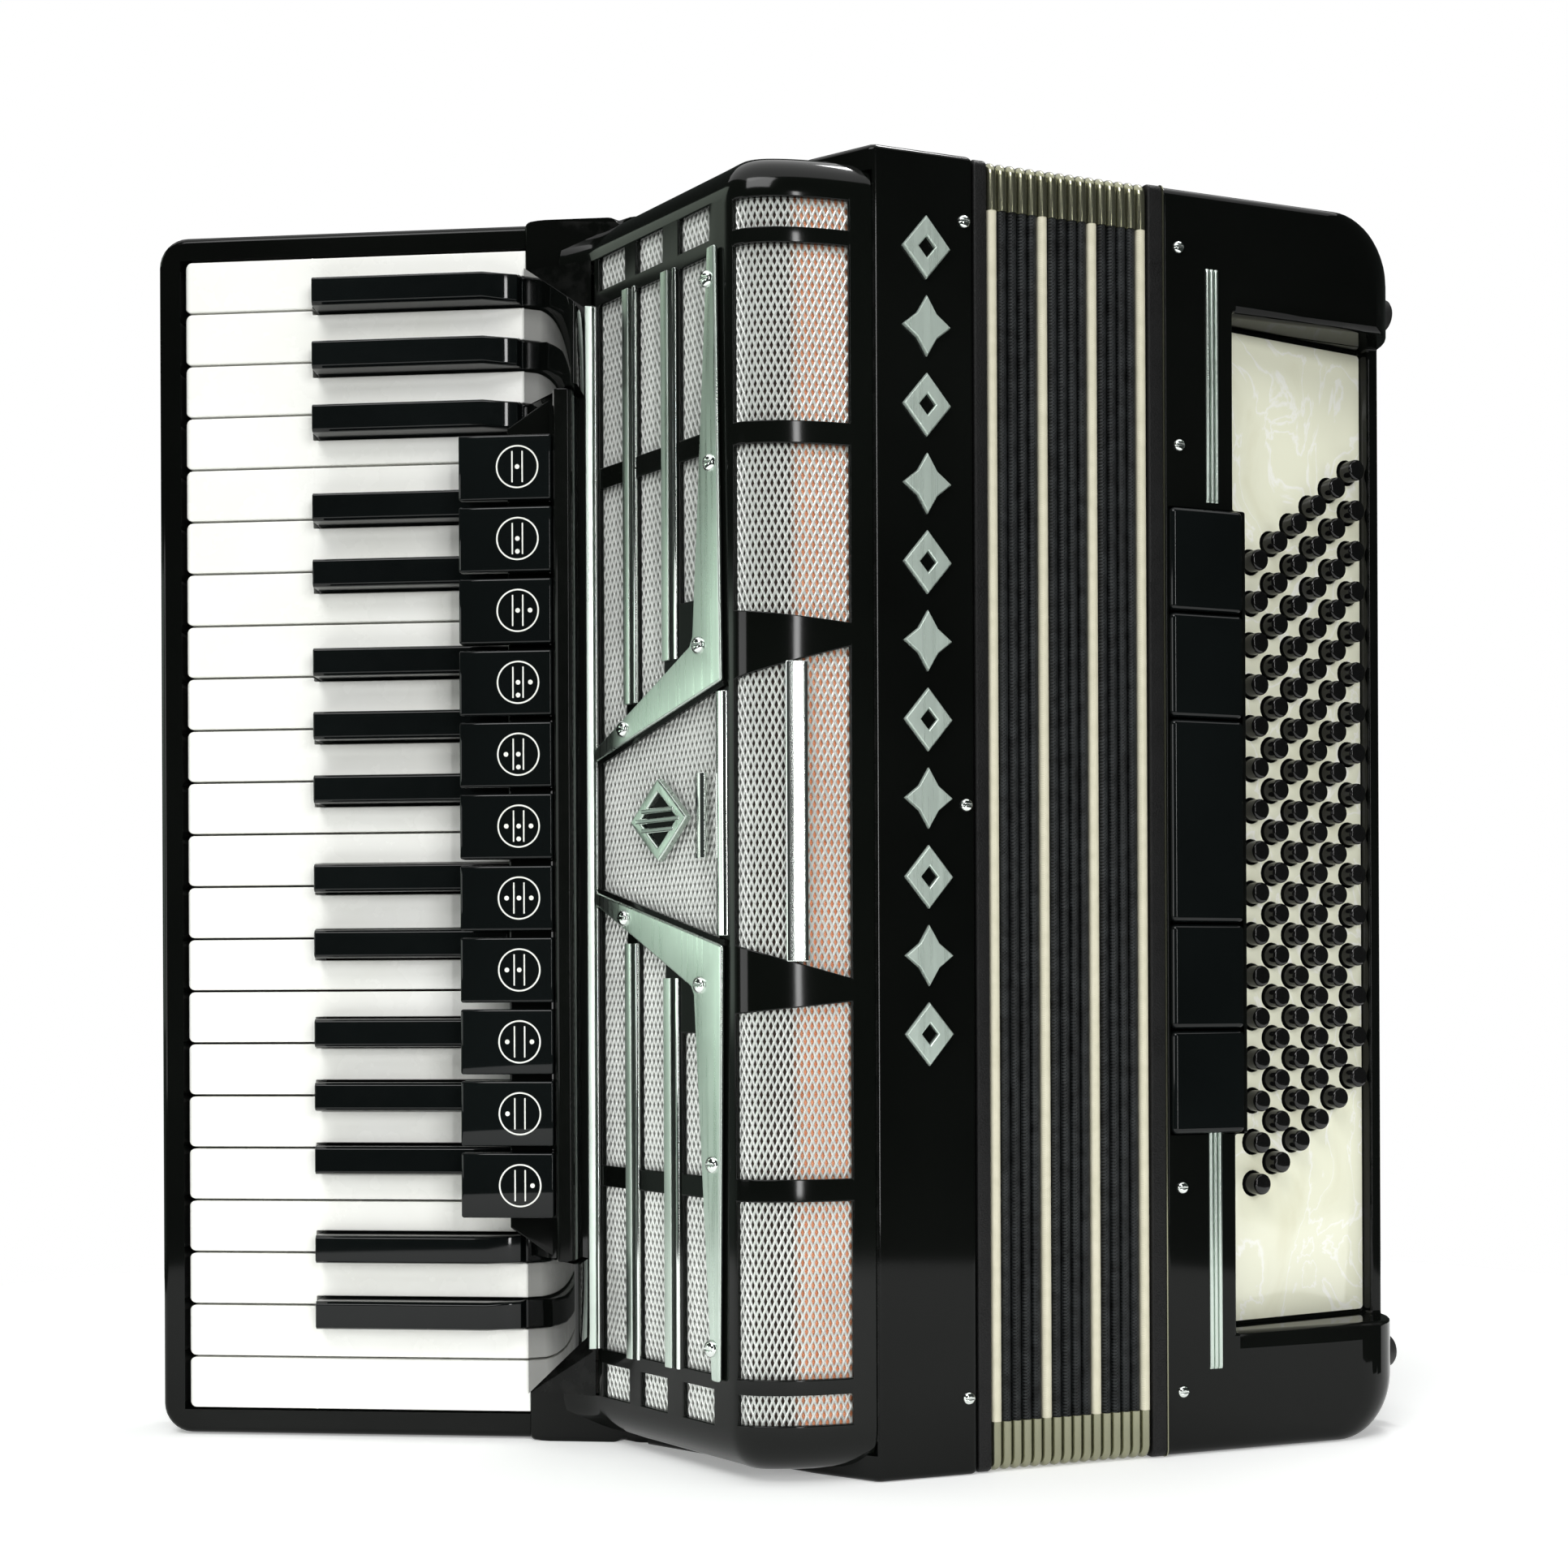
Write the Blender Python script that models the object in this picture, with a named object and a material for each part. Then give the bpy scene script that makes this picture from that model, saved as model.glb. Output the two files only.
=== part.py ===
"""Piano accordion with 37 keys, 11 treble registers, 5 bass registers and 96 bass buttons.

The instrument stands on its lower end with the bellows closed. +Z runs along the keyboard to the
chin end, +X from the keyboard to the bass end, and +Y from the front to the player's chest.
Lengths below are in millimetres, measured from the treble body's front left edge: the line where
the grille cover meets the flat front. One empty carries everything to the row frame, whose origin
is the middle of the footprint.
"""
import math

import bmesh
import bpy
from mathutils import Vector

MM = 0.001
GAP = 0.3                       # clearance between neighbouring pieces

# Whole instrument
HEIGHT = 450.0
DEPTH = 200.0
MIDDLE = HEIGHT / 2
END_PLATE = 9.0                 # thickness of the upper and lower ends of the treble body
WALL = 8.0

# Treble body, seen from above
BODY_RIGHT = 42.0               # face that the bellows is pinned to
BODY_LEFT = -74.0
SOUNDBOARD = (-12.0, -6.0)
SHOULDER = [(-64.0, 92.0), (-16.0, 19.0), (0.0, 0.0)]

# Keyboard plane: a point on it, its tilt from the front plane, and the keys on it
KEY_ROOT = Vector((-96.0, 107.0))
KEY_TILT = math.radians(24.0)
KEY_OUT = Vector((-math.cos(KEY_TILT), math.sin(KEY_TILT)))
KEY_UP = Vector((-math.sin(KEY_TILT), -math.cos(KEY_TILT)))
KEY_LENGTH = 130.0
KEY_TAIL = -46.0
KEY_THICK = 13.0
WHITE_COUNT = 22
WHITE_PITCH = 19.545
KEYS_TOP = MIDDLE + WHITE_COUNT * WHITE_PITCH / 2
KEY_SPACE = 0.8                 # open line between two white keys
TIP_START = 80.5                # where a white key widens to its full tip
BLACK_WIDTH = 10.4
BLACK_RISE = 10.0
BLACK_GAP = 0.6
BLACK_SHIFT = {"f": 3.9, "g": 0.0, "a": -3.9, "c": 2.4, "d": -2.4}
NOTES = "fgabcde"
FIRST_OCTAVE = 3
AXLE = (-38.0, -8.0)
AXLE_RADIUS = 2.0
BED_DEPTH = 30.0
BED_FLOOR = 5.0
BED_EDGE = 140.0
BED_END = 2.0
BED_CORNER = 11.0
CHEEK = 7.6

# Sloping rail that hides the key tails, and the register housing on it
RAIL_END = -26.5
RAIL_RISE = 10.6
HOUSING_HALF = 156.0
HOUSING = [(-16.0, 4.0), (-16.0, 23.0), (-18.0, 25.0), (-25.5, 24.0), (-26.3, 9.0)]
REGISTER_COUNT = 11
REGISTER_PITCH = 25.8
REGISTER_WIDTH = 23.4
REGISTER_REACH = 20.0
REGISTER_HEIGHTS = (16.5, 22.0)
REGISTER_PIVOT = (-20.0, 17.5)

# Grille cover
COVER_WALL = 3.0
COVER_SIDE = [(-75.0, 87.0), (-47.0, 15.0)]
COVER_BEND = (-42.3, 0.8)
COVER_BACK = [(-GAP, 3.2), (-3.1, 3.2), (-12.3, 14.1), (-12.3, 24.0), (-62.0, 88.0)]
MESH_RECESS = 1.8
SIDE_COLUMNS = [(0.04, 0.25), (0.34, 0.54), (0.66, 0.88)]   # shares of the cover's side
FRONT_COLUMN = (0.12, 0.84)                                   # shares of its bend
WINDOW_HEIGHTS = [(0.0, 36.0), (52.0, 122.0), (131.0, 189.0), (194.5, 206.0)]

# Bellows
BELLOWS = (42.4, 103.6)
FOLDS = 16
FOLD_DEPTH = 14.0
BOARD = 6.0
BELLOWS_INSET = 1.0

# Bass body
BASS_LEFT = 104.0
BASS_RIGHT = 214.0
BASS_CORNER = 24.0
PLATE = [(143.0, 17.0), (209.0, 27.0)]
PLATE_HALF = 182.5
PLATE_THICK = 4.0
PLATE_RIM = 21.0
SHELF_LEFT = 138.0              # left end of the recess above and below the registers
FOOT_RADIUS = 6.5
FOOT_HEIGHT = 8.0
FOOT_INSET = (28.0, 27.0)       # from the front or back, and from the nearer end
BUTTON_COLUMNS = 6
BUTTON_ROWS = 16
BUTTON_FIRST = (11.2, 93.9)     # along the plate, and height
BUTTON_STEP = 9.4
BUTTON_PITCH = 15.25
BUTTON_STAGGER = 7.66
BUTTON_RADIUS = 3.9
BUTTON_PROUD = 10.5
BUTTON_SIDES = 6
BASS_REGISTER_X = (111.7, 141.0)
BASS_REGISTER_EDGES = (-111.2, -74.0, -36.3, 36.3, 74.0, 111.2)
BASS_REGISTER_PROUD = 2.0

ORIGIN = Vector((
    -(KEY_ROOT.x + KEY_OUT.x * BED_EDGE + BASS_RIGHT + FOOT_HEIGHT) / 2,
    -(DEPTH - BASS_REGISTER_PROUD) / 2,
    0.0,
))


# Spaces: each maps two outline coordinates and a depth to a point

def above(x, y, z):
    """An outline seen from above, extruded upwards."""
    return Vector((x, y, z)) * MM


def front(x, z, y):
    """An outline seen from the front, extruded backwards."""
    return Vector((x, y, z)) * MM


def keyed(out, up, z):
    """An outline across the keys, out from the key root and up from the key tops."""
    spot = KEY_ROOT + KEY_OUT * out + KEY_UP * up
    return Vector((spot.x, spot.y, z)) * MM


def key_top(out, z, up):
    """An outline on the keyboard plane, extruded away from it."""
    return keyed(out, up, z)


def key_spot(out, up):
    """A point across the keys, as seen from above."""
    spot = KEY_ROOT + KEY_OUT * out + KEY_UP * up
    return spot.x, spot.y


def plated(along, z, proud):
    """An outline on the bass button plate, extruded outwards from it."""
    start = Vector(PLATE[0])
    line = (Vector(PLATE[1]) - start).normalized()
    spot = start + line * along + Vector((line.y, -line.x)) * proud
    return Vector((spot.x, spot.y, z)) * MM


# Solids

def material(name, colour, roughness, metallic=0.0):
    made = bpy.data.materials.new(name)
    made.use_nodes = True
    shader = made.node_tree.nodes["Principled BSDF"]
    shader.inputs["Base Color"].default_value = (*colour, 1.0)
    shader.inputs["Roughness"].default_value = roughness
    shader.inputs["Metallic"].default_value = metallic
    return made


def add(name, mesh_maker, finish=None):
    """An object under the instrument's empty, from a function that fills a bmesh."""
    shape = bmesh.new()
    mesh_maker(shape)
    bmesh.ops.recalc_face_normals(shape, faces=shape.faces)
    mesh = bpy.data.meshes.new(name)
    shape.to_mesh(mesh)
    shape.free()
    made = bpy.data.objects.new(name, mesh)
    bpy.context.scene.collection.objects.link(made)
    made.parent = INSTRUMENT
    if finish:
        mesh.materials.append(finish)
    return made


def skin(shape, rings, ends=True):
    """Faces between successive closed rings of points, and over both ends."""
    loops = [[shape.verts.new(point) for point in ring] for ring in rings]
    for lower, upper in zip(loops, loops[1:]):
        for here in range(len(lower)):
            there = (here + 1) % len(lower)
            shape.faces.new((lower[here], lower[there], upper[there], upper[here]))
    if ends:
        shape.faces.new(loops[0])
        shape.faces.new(loops[-1])
    return loops


def prism(name, outline, low, high, space=above, finish=None):
    """A straight extrusion of an outline between two depths."""
    def fill(shape):
        skin(shape, [[space(a, b, depth) for a, b in outline] for depth in (low, high)])
    return add(name, fill, finish)


def prisms(name, outlines, low, high, space, finish=None):
    """Several separate extrusions as one cutter."""
    def fill(shape):
        for outline in outlines:
            skin(shape, [[space(a, b, depth) for a, b in outline] for depth in (low, high)])
    return add(name, fill, finish)


def rectangle(left, right, low, high):
    return [(left, low), (right, low), (right, high), (left, high)]


def circle(across, up, radius, sides):
    turns = [2 * math.pi * (side + 0.5) / sides for side in range(sides)]
    return [(across + radius * math.cos(turn), up + radius * math.sin(turn)) for turn in turns]


def arc(across, up, radius, start, end, steps=5):
    """Points along an arc between two angles in degrees."""
    turns = [math.radians(start + (end - start) * step / steps) for step in range(steps + 1)]
    return [(across + radius * math.cos(turn), up + radius * math.sin(turn)) for turn in turns]


def combine(target, tool, operation):
    modifier = target.modifiers.new(tool.name, "BOOLEAN")
    modifier.operation = operation
    modifier.solver = "EXACT"
    modifier.object = tool
    tool.hide_render = True
    tool.display_type = "WIRE"


def cut(target, tool):
    combine(target, tool, "DIFFERENCE")


def fuse(target, tool):
    combine(target, tool, "UNION")


def set_origin(moving, pivot):
    """Moves an object's origin to its joint without moving its shape."""
    moving.data.transform(moving.matrix_world.Translation(-pivot))
    moving.location = pivot


# Treble side

def treble_body(finish):
    outline = [
        (BODY_RIGHT, 0.0), (BODY_RIGHT, DEPTH), (BODY_LEFT + WALL, DEPTH), (BODY_LEFT, DEPTH - WALL),
        (BODY_LEFT, 139.0), key_spot(0, -BED_DEPTH), key_spot(0, 1.6), key_spot(RAIL_END - 1, RAIL_RISE),
        *SHOULDER,
    ]
    body = prism("treble_body", outline, 0, HEIGHT, finish=finish)
    reed_chamber = rectangle(SOUNDBOARD[1], BODY_RIGHT + 1, WALL, DEPTH - WALL)
    cut(body, prism("reed_chamber", reed_chamber, WALL, HEIGHT - WALL))
    key_chamber = [
        (SOUNDBOARD[0], -30.0), (SOUNDBOARD[0], DEPTH - WALL), (BODY_LEFT + WALL, DEPTH - WALL),
        (BODY_LEFT + WALL, 137.0), key_spot(-5, BED_FLOOR - BED_DEPTH), key_spot(30, BED_FLOOR - BED_DEPTH),
        key_spot(30, 0.6), key_spot(RAIL_END, 0.6), key_spot(RAIL_END, 60), (-96.0, -30.0),
    ]
    cut(body, prism("key_chamber", key_chamber, END_PLATE, HEIGHT - END_PLATE))
    cover_seat = rectangle(SOUNDBOARD[0] - 2, 0, -1, COVER_WALL + 0.5)
    cut(body, prism("cover_seat", cover_seat, END_PLATE, HEIGHT - END_PLATE))
    fuse(body, prism("register_housing", HOUSING, MIDDLE - HOUSING_HALF, MIDDLE + HOUSING_HALF, keyed))
    slots = [
        rectangle(-23.0, -15.0, height - 6.2, height + 6.2) for height in register_heights()
    ]
    cut(body, prisms("register_slots", slots, 14.3, 20.7, key_top))
    rod = circle(*AXLE, AXLE_RADIUS, 10)
    fuse(body, prism("key_axle", rod, END_PLATE - 0.5, HEIGHT - END_PLATE + 0.5, keyed))
    return body


def treble_reed_block(finish):
    """Wooden block with a row of open reed cells down each side."""
    left, right = SOUNDBOARD[1] + GAP, BODY_RIGHT - 6
    front_face, back_face = 60.0, 140.0
    cell, rib, deep = 22.0, 9.0, 28.0
    block = prism(
        "treble_reed_block", rectangle(left, right, front_face, back_face), 20, HEIGHT - 20, finish=finish
    )
    count = int((HEIGHT - 40 - rib) // (cell + rib))
    start = MIDDLE - (count * (cell + rib) - rib) / 2
    cells = []
    for number in range(count):
        low = start + number * (cell + rib)
        cells.append(rectangle(front_face - 1, front_face + deep, low, low + cell))
        cells.append(rectangle(back_face - deep, back_face + 1, low, low + cell))
    cut(block, prisms("reed_cells", cells, left + 6, right + 1, lambda y, z, x: above(x, y, z)))
    return block


def keyboard_frame(finish):
    """Tray under the keys, open towards the body, with rounded outer corners."""
    low, high = BED_END, HEIGHT - BED_END
    inner = BED_EDGE - BED_CORNER
    outline = [(0.4, low), *arc(inner, low + BED_CORNER, BED_CORNER, -90, 0)]
    outline += [*arc(inner, high - BED_CORNER, BED_CORNER, 0, 90), (0.4, high)]
    frame = prism("keyboard_frame", outline, -BED_DEPTH, 0, key_top, finish)
    pocket = rectangle(-1.0, KEY_LENGTH + 1.3, low + CHEEK, high - CHEEK)
    cut(frame, prism("key_pocket", pocket, BED_FLOOR - BED_DEPTH, 5, key_top))
    return frame


def tail_outline():
    """Side view of a key's tail, with the slot that hooks over the axle."""
    out, up = AXLE
    slot = AXLE_RADIUS + GAP
    return [
        (KEY_TAIL, 0.0), (KEY_TAIL, -KEY_THICK), (out - slot, -KEY_THICK),
        *arc(out, up, slot, 180, 0, 6), (out + slot, -KEY_THICK),
    ]


def black_centres():
    """Height and note of each black key, from the chin end down."""
    centres = []
    for number in range(WHITE_COUNT - 1):
        note = NOTES[number % len(NOTES)]
        if note in BLACK_SHIFT:
            height = KEYS_TOP - (number + 1) * WHITE_PITCH + BLACK_SHIFT[note]
            centres.append((height, note, octave(number)))
    return centres


def octave(white_number):
    """Octave of a white key: it goes up at each c."""
    return FIRST_OCTAVE + (white_number + 3) // len(NOTES)


def white_keys(finish):
    made = []
    half_black = BLACK_WIDTH / 2 + BLACK_GAP
    for number in range(WHITE_COUNT):
        high = KEYS_TOP - number * WHITE_PITCH - KEY_SPACE / 2
        low = high - WHITE_PITCH + KEY_SPACE
        tail_low, tail_high = low, high
        for centre, _, _ in black_centres():
            if low < centre + half_black < high:
                tail_low = centre + half_black
            if low < centre - half_black < high:
                tail_high = centre - half_black
        name = f"white_key_{number + 1:02d}_{NOTES[number % len(NOTES)]}{octave(number)}"
        side = tail_outline() + [(TIP_START + 1, -KEY_THICK), (TIP_START + 1, 0)]
        key = prism(name, side, tail_low, tail_high, keyed, finish)
        tip = rectangle(TIP_START, KEY_LENGTH, low, high)
        fuse(key, prism(name + "_tip", tip, -KEY_THICK, 0, key_top))
        set_origin(key, keyed(*AXLE, (low + high) / 2))
        made.append(key)
    return made


def black_keys(finish):
    made = []
    front_edge = TIP_START - BLACK_GAP
    side = tail_outline() + [
        (front_edge, -KEY_THICK), (front_edge, 0), (front_edge - 2, BLACK_RISE),
        (14.0, BLACK_RISE), (1.8, 5.0), (1.8, 0.0),
    ]
    for number, (centre, note, rank) in enumerate(black_centres()):
        name = f"black_key_{number + 1:02d}_{note}s{rank}"
        key = prism(name, side, centre - BLACK_WIDTH / 2, centre + BLACK_WIDTH / 2, keyed, finish)
        set_origin(key, keyed(*AXLE, centre))
        made.append(key)
    return made


def register_heights():
    """Mid height of each treble register, from the chin end down."""
    top = MIDDLE + REGISTER_PITCH * (REGISTER_COUNT - 1) / 2
    return [top - REGISTER_PITCH * number for number in range(REGISTER_COUNT)]


def treble_registers(finish):
    """Finger tabs on short levers that turn inside the housing."""
    low, high = REGISTER_HEIGHTS
    for number, height in enumerate(register_heights()):
        name = f"treble_register_{number + 1:02d}"
        tab = rectangle(-15.0, REGISTER_REACH, low, high)
        half = REGISTER_WIDTH / 2
        cap = prism(name, tab, height - half, height + half, keyed, finish)
        tongue = rectangle(-22.0, -14.0, 15.5, 19.5)
        fuse(cap, prism(name + "_lever", tongue, height - 5.5, height + 5.5, keyed))
        set_origin(cap, keyed(*REGISTER_PIVOT, height))


def cover_side(share):
    left, corner = (Vector(point) for point in COVER_SIDE)
    return left.lerp(corner, share)


def cover_bend(share):
    corner, bend, right = Vector(COVER_SIDE[1]), Vector(COVER_BEND), Vector((-GAP, 0.0))
    return corner.lerp(bend, share).lerp(bend.lerp(right, share), share)


def cover_line(inset=0.0, line=None):
    """The cover's outer line from its left edge to the flat front, or one parallel to it inside."""
    if line is None:
        line = [cover_side(step / 4) for step in range(4)] + [cover_bend(step / 8) for step in range(9)]
    moved = []
    for here, point in enumerate(line):
        along = line[min(here + 1, len(line) - 1)] - line[max(here - 1, 0)]
        normal = Vector((-along.y, along.x)).normalized()
        moved.append(point + normal * inset)
    return moved


def grille_cover(finish):
    """Removable cover: a bent shell with end walls, and shallow recesses that hold the mesh."""
    low, high = END_PLATE + GAP, HEIGHT - END_PLATE - GAP
    outer = [tuple(point) for point in cover_line()]
    cover = prism("grille_cover", outer + COVER_BACK, low, high, finish=finish)
    inner = [tuple(point) for point in cover_line(COVER_WALL)]
    chamber = [inner[0][:1] + (95.0,)] + inner[:-2] + [(-12.3, 3.0), (-11.0, 30.0), (-11.0, 95.0)]
    cut(cover, prism("cover_chamber", chamber, low + COVER_WALL, high - COVER_WALL))
    lines = [[cover_side(start), cover_side(end)] for start, end in SIDE_COLUMNS]
    start, end = FRONT_COLUMN
    lines.append([cover_bend(start + (end - start) * step / 4) for step in range(5)])
    outlines = []
    for line in lines:
        floor, mouth = cover_line(MESH_RECESS, line), cover_line(-6.0, line)
        outlines.append([tuple(point) for point in floor + mouth[::-1]])
    for near, far in WINDOW_HEIGHTS:
        for side in (-1, 1) if near else (1,):
            bottom, top = sorted((MIDDLE + side * near, MIDDLE + side * far))
            if not near:
                bottom = MIDDLE - far
            name = f"window_{bottom:.0f}"
            cut(cover, prisms(name, outlines, bottom, top, above))
    return cover


# Bellows

def bellows(finish):
    """Open pleated tube: boards folded to and fro between the two bodies."""
    left, right = BELLOWS
    pitch = (right - left) / (2 * FOLDS)

    def ring(step, inset):
        valley = FOLD_DEPTH if step % 2 == 0 else 0.0
        edge = BELLOWS_INSET + inset + valley
        x = left + pitch * step
        corners = rectangle(edge, DEPTH - edge, edge, HEIGHT - edge)
        return [above(x, y, z) for y, z in corners]

    def fill(shape):
        steps = range(2 * FOLDS + 1)
        outside = [ring(step, 0.0) for step in steps]
        inside = [ring(step, BOARD) for step in reversed(steps)]
        loops = skin(shape, outside + inside, ends=False)
        first, last = loops[0], loops[-1]
        for here in range(4):
            there = (here + 1) % 4
            shape.faces.new((last[here], last[there], first[there], first[here]))
    return add("bellows", fill, finish)


# Bass side

def button_spots():
    """Place of each bass button on the plate."""
    spots = []
    for column in range(BUTTON_COLUMNS):
        for row in range(BUTTON_ROWS):
            along = BUTTON_FIRST[0] + BUTTON_STEP * column
            spots.append((along, BUTTON_FIRST[1] + BUTTON_STAGGER * column + BUTTON_PITCH * row))
    return spots


def bass_body(finish):
    low, high = BASS_CORNER, HEIGHT - BASS_CORNER
    corner = BASS_RIGHT - BASS_CORNER
    outline = [(BASS_LEFT, 0.0), *arc(corner, low, BASS_CORNER, -90, 0, 8)]
    outline += [*arc(corner, high, BASS_CORNER, 0, 90, 8), (BASS_LEFT, HEIGHT)]
    body = prism("bass_body", outline, 0, DEPTH, front, finish)
    rounded = [(BASS_LEFT - 1, 0.0), *arc(corner, BASS_CORNER, BASS_CORNER, -90, 0, 6)]
    rounded += [*arc(corner, DEPTH - BASS_CORNER, BASS_CORNER, 0, 90, 6), (BASS_LEFT - 1, DEPTH)]
    combine(body, prism("bass_rounding", rounded, -1, HEIGHT + 1), "INTERSECT")
    (plate_left, plate_front), (plate_right, plate_back) = PLATE
    chamber = [
        (BASS_LEFT - 1, WALL), (plate_left - PLATE_THICK, WALL),
        (plate_left - PLATE_THICK, plate_front + PLATE_THICK), (BASS_RIGHT - WALL, plate_back + PLATE_THICK),
        (BASS_RIGHT - WALL, DEPTH - WALL), (BASS_LEFT - 1, DEPTH - WALL),
    ]
    cut(body, prism("bass_chamber", chamber, WALL, HEIGHT - WALL))
    register_half = BASS_REGISTER_EDGES[-1] + GAP
    shelf_half = (PLATE_HALF - register_half) / 2
    shelf_off = (PLATE_HALF + register_half) / 2
    recess = [
        (plate_left, -5.0), PLATE[0], PLATE[1], (plate_right, PLATE_RIM),
        (BASS_RIGHT + 5, PLATE_RIM), (BASS_RIGHT + 5, -5.0),
    ]
    cut(body, prism("hand_recess", recess, MIDDLE - PLATE_HALF, MIDDLE + PLATE_HALF))
    shelves = [
        rectangle(SHELF_LEFT, plate_left + 1, middle - shelf_half, middle + shelf_half)
        for middle in (MIDDLE - shelf_off, MIDDLE + shelf_off)
    ]
    cut(body, prisms("recess_shelves", shelves, -5, plate_front, front))
    left, right = BASS_REGISTER_X
    slot = rectangle(left - GAP, right + GAP, MIDDLE - register_half, MIDDLE + register_half)
    cut(body, prism("register_slot", slot, -5, plate_front + PLATE_THICK - 0.5, front))
    holes = [circle(along, height, BUTTON_RADIUS + 0.4, BUTTON_SIDES) for along, height in button_spots()]
    cut(body, prisms("button_holes", holes, -PLATE_THICK - 5, 5, plated))
    from_side, from_end = FOOT_INSET
    for depth in (from_side, DEPTH - from_side):
        for height in (from_end, HEIGHT - from_end):
            foot = circle(depth, height, FOOT_RADIUS, 12)
            name = f"foot_{depth:.0f}_{height:.0f}"
            tool = prism(name, foot, BASS_RIGHT - 1, BASS_RIGHT + FOOT_HEIGHT, lambda y, z, x: above(x, y, z))
            fuse(body, tool)
    return body


def bass_buttons(finish):
    """All the bass buttons on one carrier behind the plate."""
    carrier = rectangle(5.0, 63.5, BUTTON_FIRST[1] - 7, BUTTON_FIRST[1] + 275)
    bank = prism("bass_button_bank", carrier, -15, -11, plated, finish)
    stems = [circle(along, height, BUTTON_RADIUS, BUTTON_SIDES) for along, height in button_spots()]
    fuse(bank, prisms("button_stems", stems, -12, BUTTON_PROUD, plated))
    return bank


def bass_registers(finish):
    left, right = BASS_REGISTER_X
    for number in range(len(BASS_REGISTER_EDGES) - 1):
        low = MIDDLE + BASS_REGISTER_EDGES[-2 - number] + GAP
        high = MIDDLE + BASS_REGISTER_EDGES[-1 - number] - GAP
        block = prism(
            f"bass_register_{number + 1}", rectangle(left, right, low, high), -BASS_REGISTER_PROUD, 14,
            front, finish
        )
        set_origin(block, above((left + right) / 2, 14, (low + high) / 2))


for leftover in list(bpy.data.objects):
    bpy.data.objects.remove(leftover)

INSTRUMENT = bpy.data.objects.new("instrument", None)
bpy.context.scene.collection.objects.link(INSTRUMENT)
INSTRUMENT.location = ORIGIN * MM

celluloid = material("celluloid_black", (0.012, 0.012, 0.014), 0.12)
cream = material("key_cream", (0.82, 0.78, 0.66), 0.22)
ebony = material("key_black", (0.015, 0.015, 0.017), 0.16)
silver = material("grille_silver", (0.62, 0.63, 0.62), 0.28, 1.0)
cloth = material("bellows_board", (0.03, 0.03, 0.035), 0.6)
spruce = material("reed_wood", (0.55, 0.36, 0.18), 0.5)

treble_body(celluloid)
treble_reed_block(spruce)
keyboard_frame(celluloid)
white_keys(cream)
black_keys(ebony)
treble_registers(ebony)
grille_cover(silver)
bellows(cloth)
bass_body(celluloid)
bass_buttons(ebony)
bass_registers(ebony)
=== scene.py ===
"""Looks of the piano accordion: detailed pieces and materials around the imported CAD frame.

Lengths are in millimetres from the treble body's front left edge, as in the CAD model: x towards
the bass end, y from the front to the player's chest, z up the keyboard. `above` turns them into
metres in the shared frame.
"""
import math

import bmesh
import bpy
import numpy as np
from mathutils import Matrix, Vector


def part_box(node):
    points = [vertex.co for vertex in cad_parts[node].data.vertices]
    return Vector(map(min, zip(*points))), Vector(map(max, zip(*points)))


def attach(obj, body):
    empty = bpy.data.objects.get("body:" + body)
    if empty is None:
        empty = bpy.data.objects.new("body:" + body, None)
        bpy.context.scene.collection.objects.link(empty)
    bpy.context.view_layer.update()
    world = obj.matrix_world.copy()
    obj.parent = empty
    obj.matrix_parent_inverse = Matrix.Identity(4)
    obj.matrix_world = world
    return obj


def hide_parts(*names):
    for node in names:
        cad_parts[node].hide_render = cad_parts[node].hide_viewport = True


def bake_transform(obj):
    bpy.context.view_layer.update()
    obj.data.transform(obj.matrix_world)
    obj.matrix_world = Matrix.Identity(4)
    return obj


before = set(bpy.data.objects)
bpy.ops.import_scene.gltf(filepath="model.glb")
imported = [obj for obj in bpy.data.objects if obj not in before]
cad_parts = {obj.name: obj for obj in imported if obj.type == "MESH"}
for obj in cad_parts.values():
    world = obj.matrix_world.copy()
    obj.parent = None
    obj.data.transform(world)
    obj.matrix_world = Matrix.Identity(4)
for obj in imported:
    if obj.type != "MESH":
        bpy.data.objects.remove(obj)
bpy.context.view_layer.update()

MM = 0.001
HEIGHT = 450.0
DEPTH = 200.0
MIDDLE = HEIGHT / 2
WALL = 8.0
END_PLATE = 9.0
BODY_RIGHT = 42.0
BACK_LEFT = -74.0
SHARP_ANGLE = 50.0
LOW_CORNER, HIGH_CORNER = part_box("treble_body")
ORIGIN = Vector((HIGH_CORNER.x - BODY_RIGHT * MM, LOW_CORNER.y, 0.0))
HALVES = (("lower", -1), ("upper", 1))

KEY_ROOT = Vector((-96.0, 107.0))
KEY_TILT = math.radians(24.0)
KEY_OUT = Vector((-math.cos(KEY_TILT), math.sin(KEY_TILT)))
KEY_UP = Vector((-math.sin(KEY_TILT), -math.cos(KEY_TILT)))
KEY_THICK = 13.0
KEY_LENGTH = 130.0
KEY_NOSE = 3.0                  # radius of a white key's front edge
TIP_START = 80.5                # where the white keys widen in front of the black ones
BLACK_GAP = 0.6
BLACK_RISE = 10.0
AXLE_OUT = -38.0
AXLE_SLOT = 2.3
BED_DEPTH = 30.0
BED_FLOOR = 5.0
BED_EDGE = 140.0
BED_CORNER = 11.0
CHEEK = 7.6
RAIL_END = -26.5
RAIL_RISE = 10.6
RAIL_HALF = 206.5
HOUSING_HALF = 156.0
REGISTER_PITCH = 25.8

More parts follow.
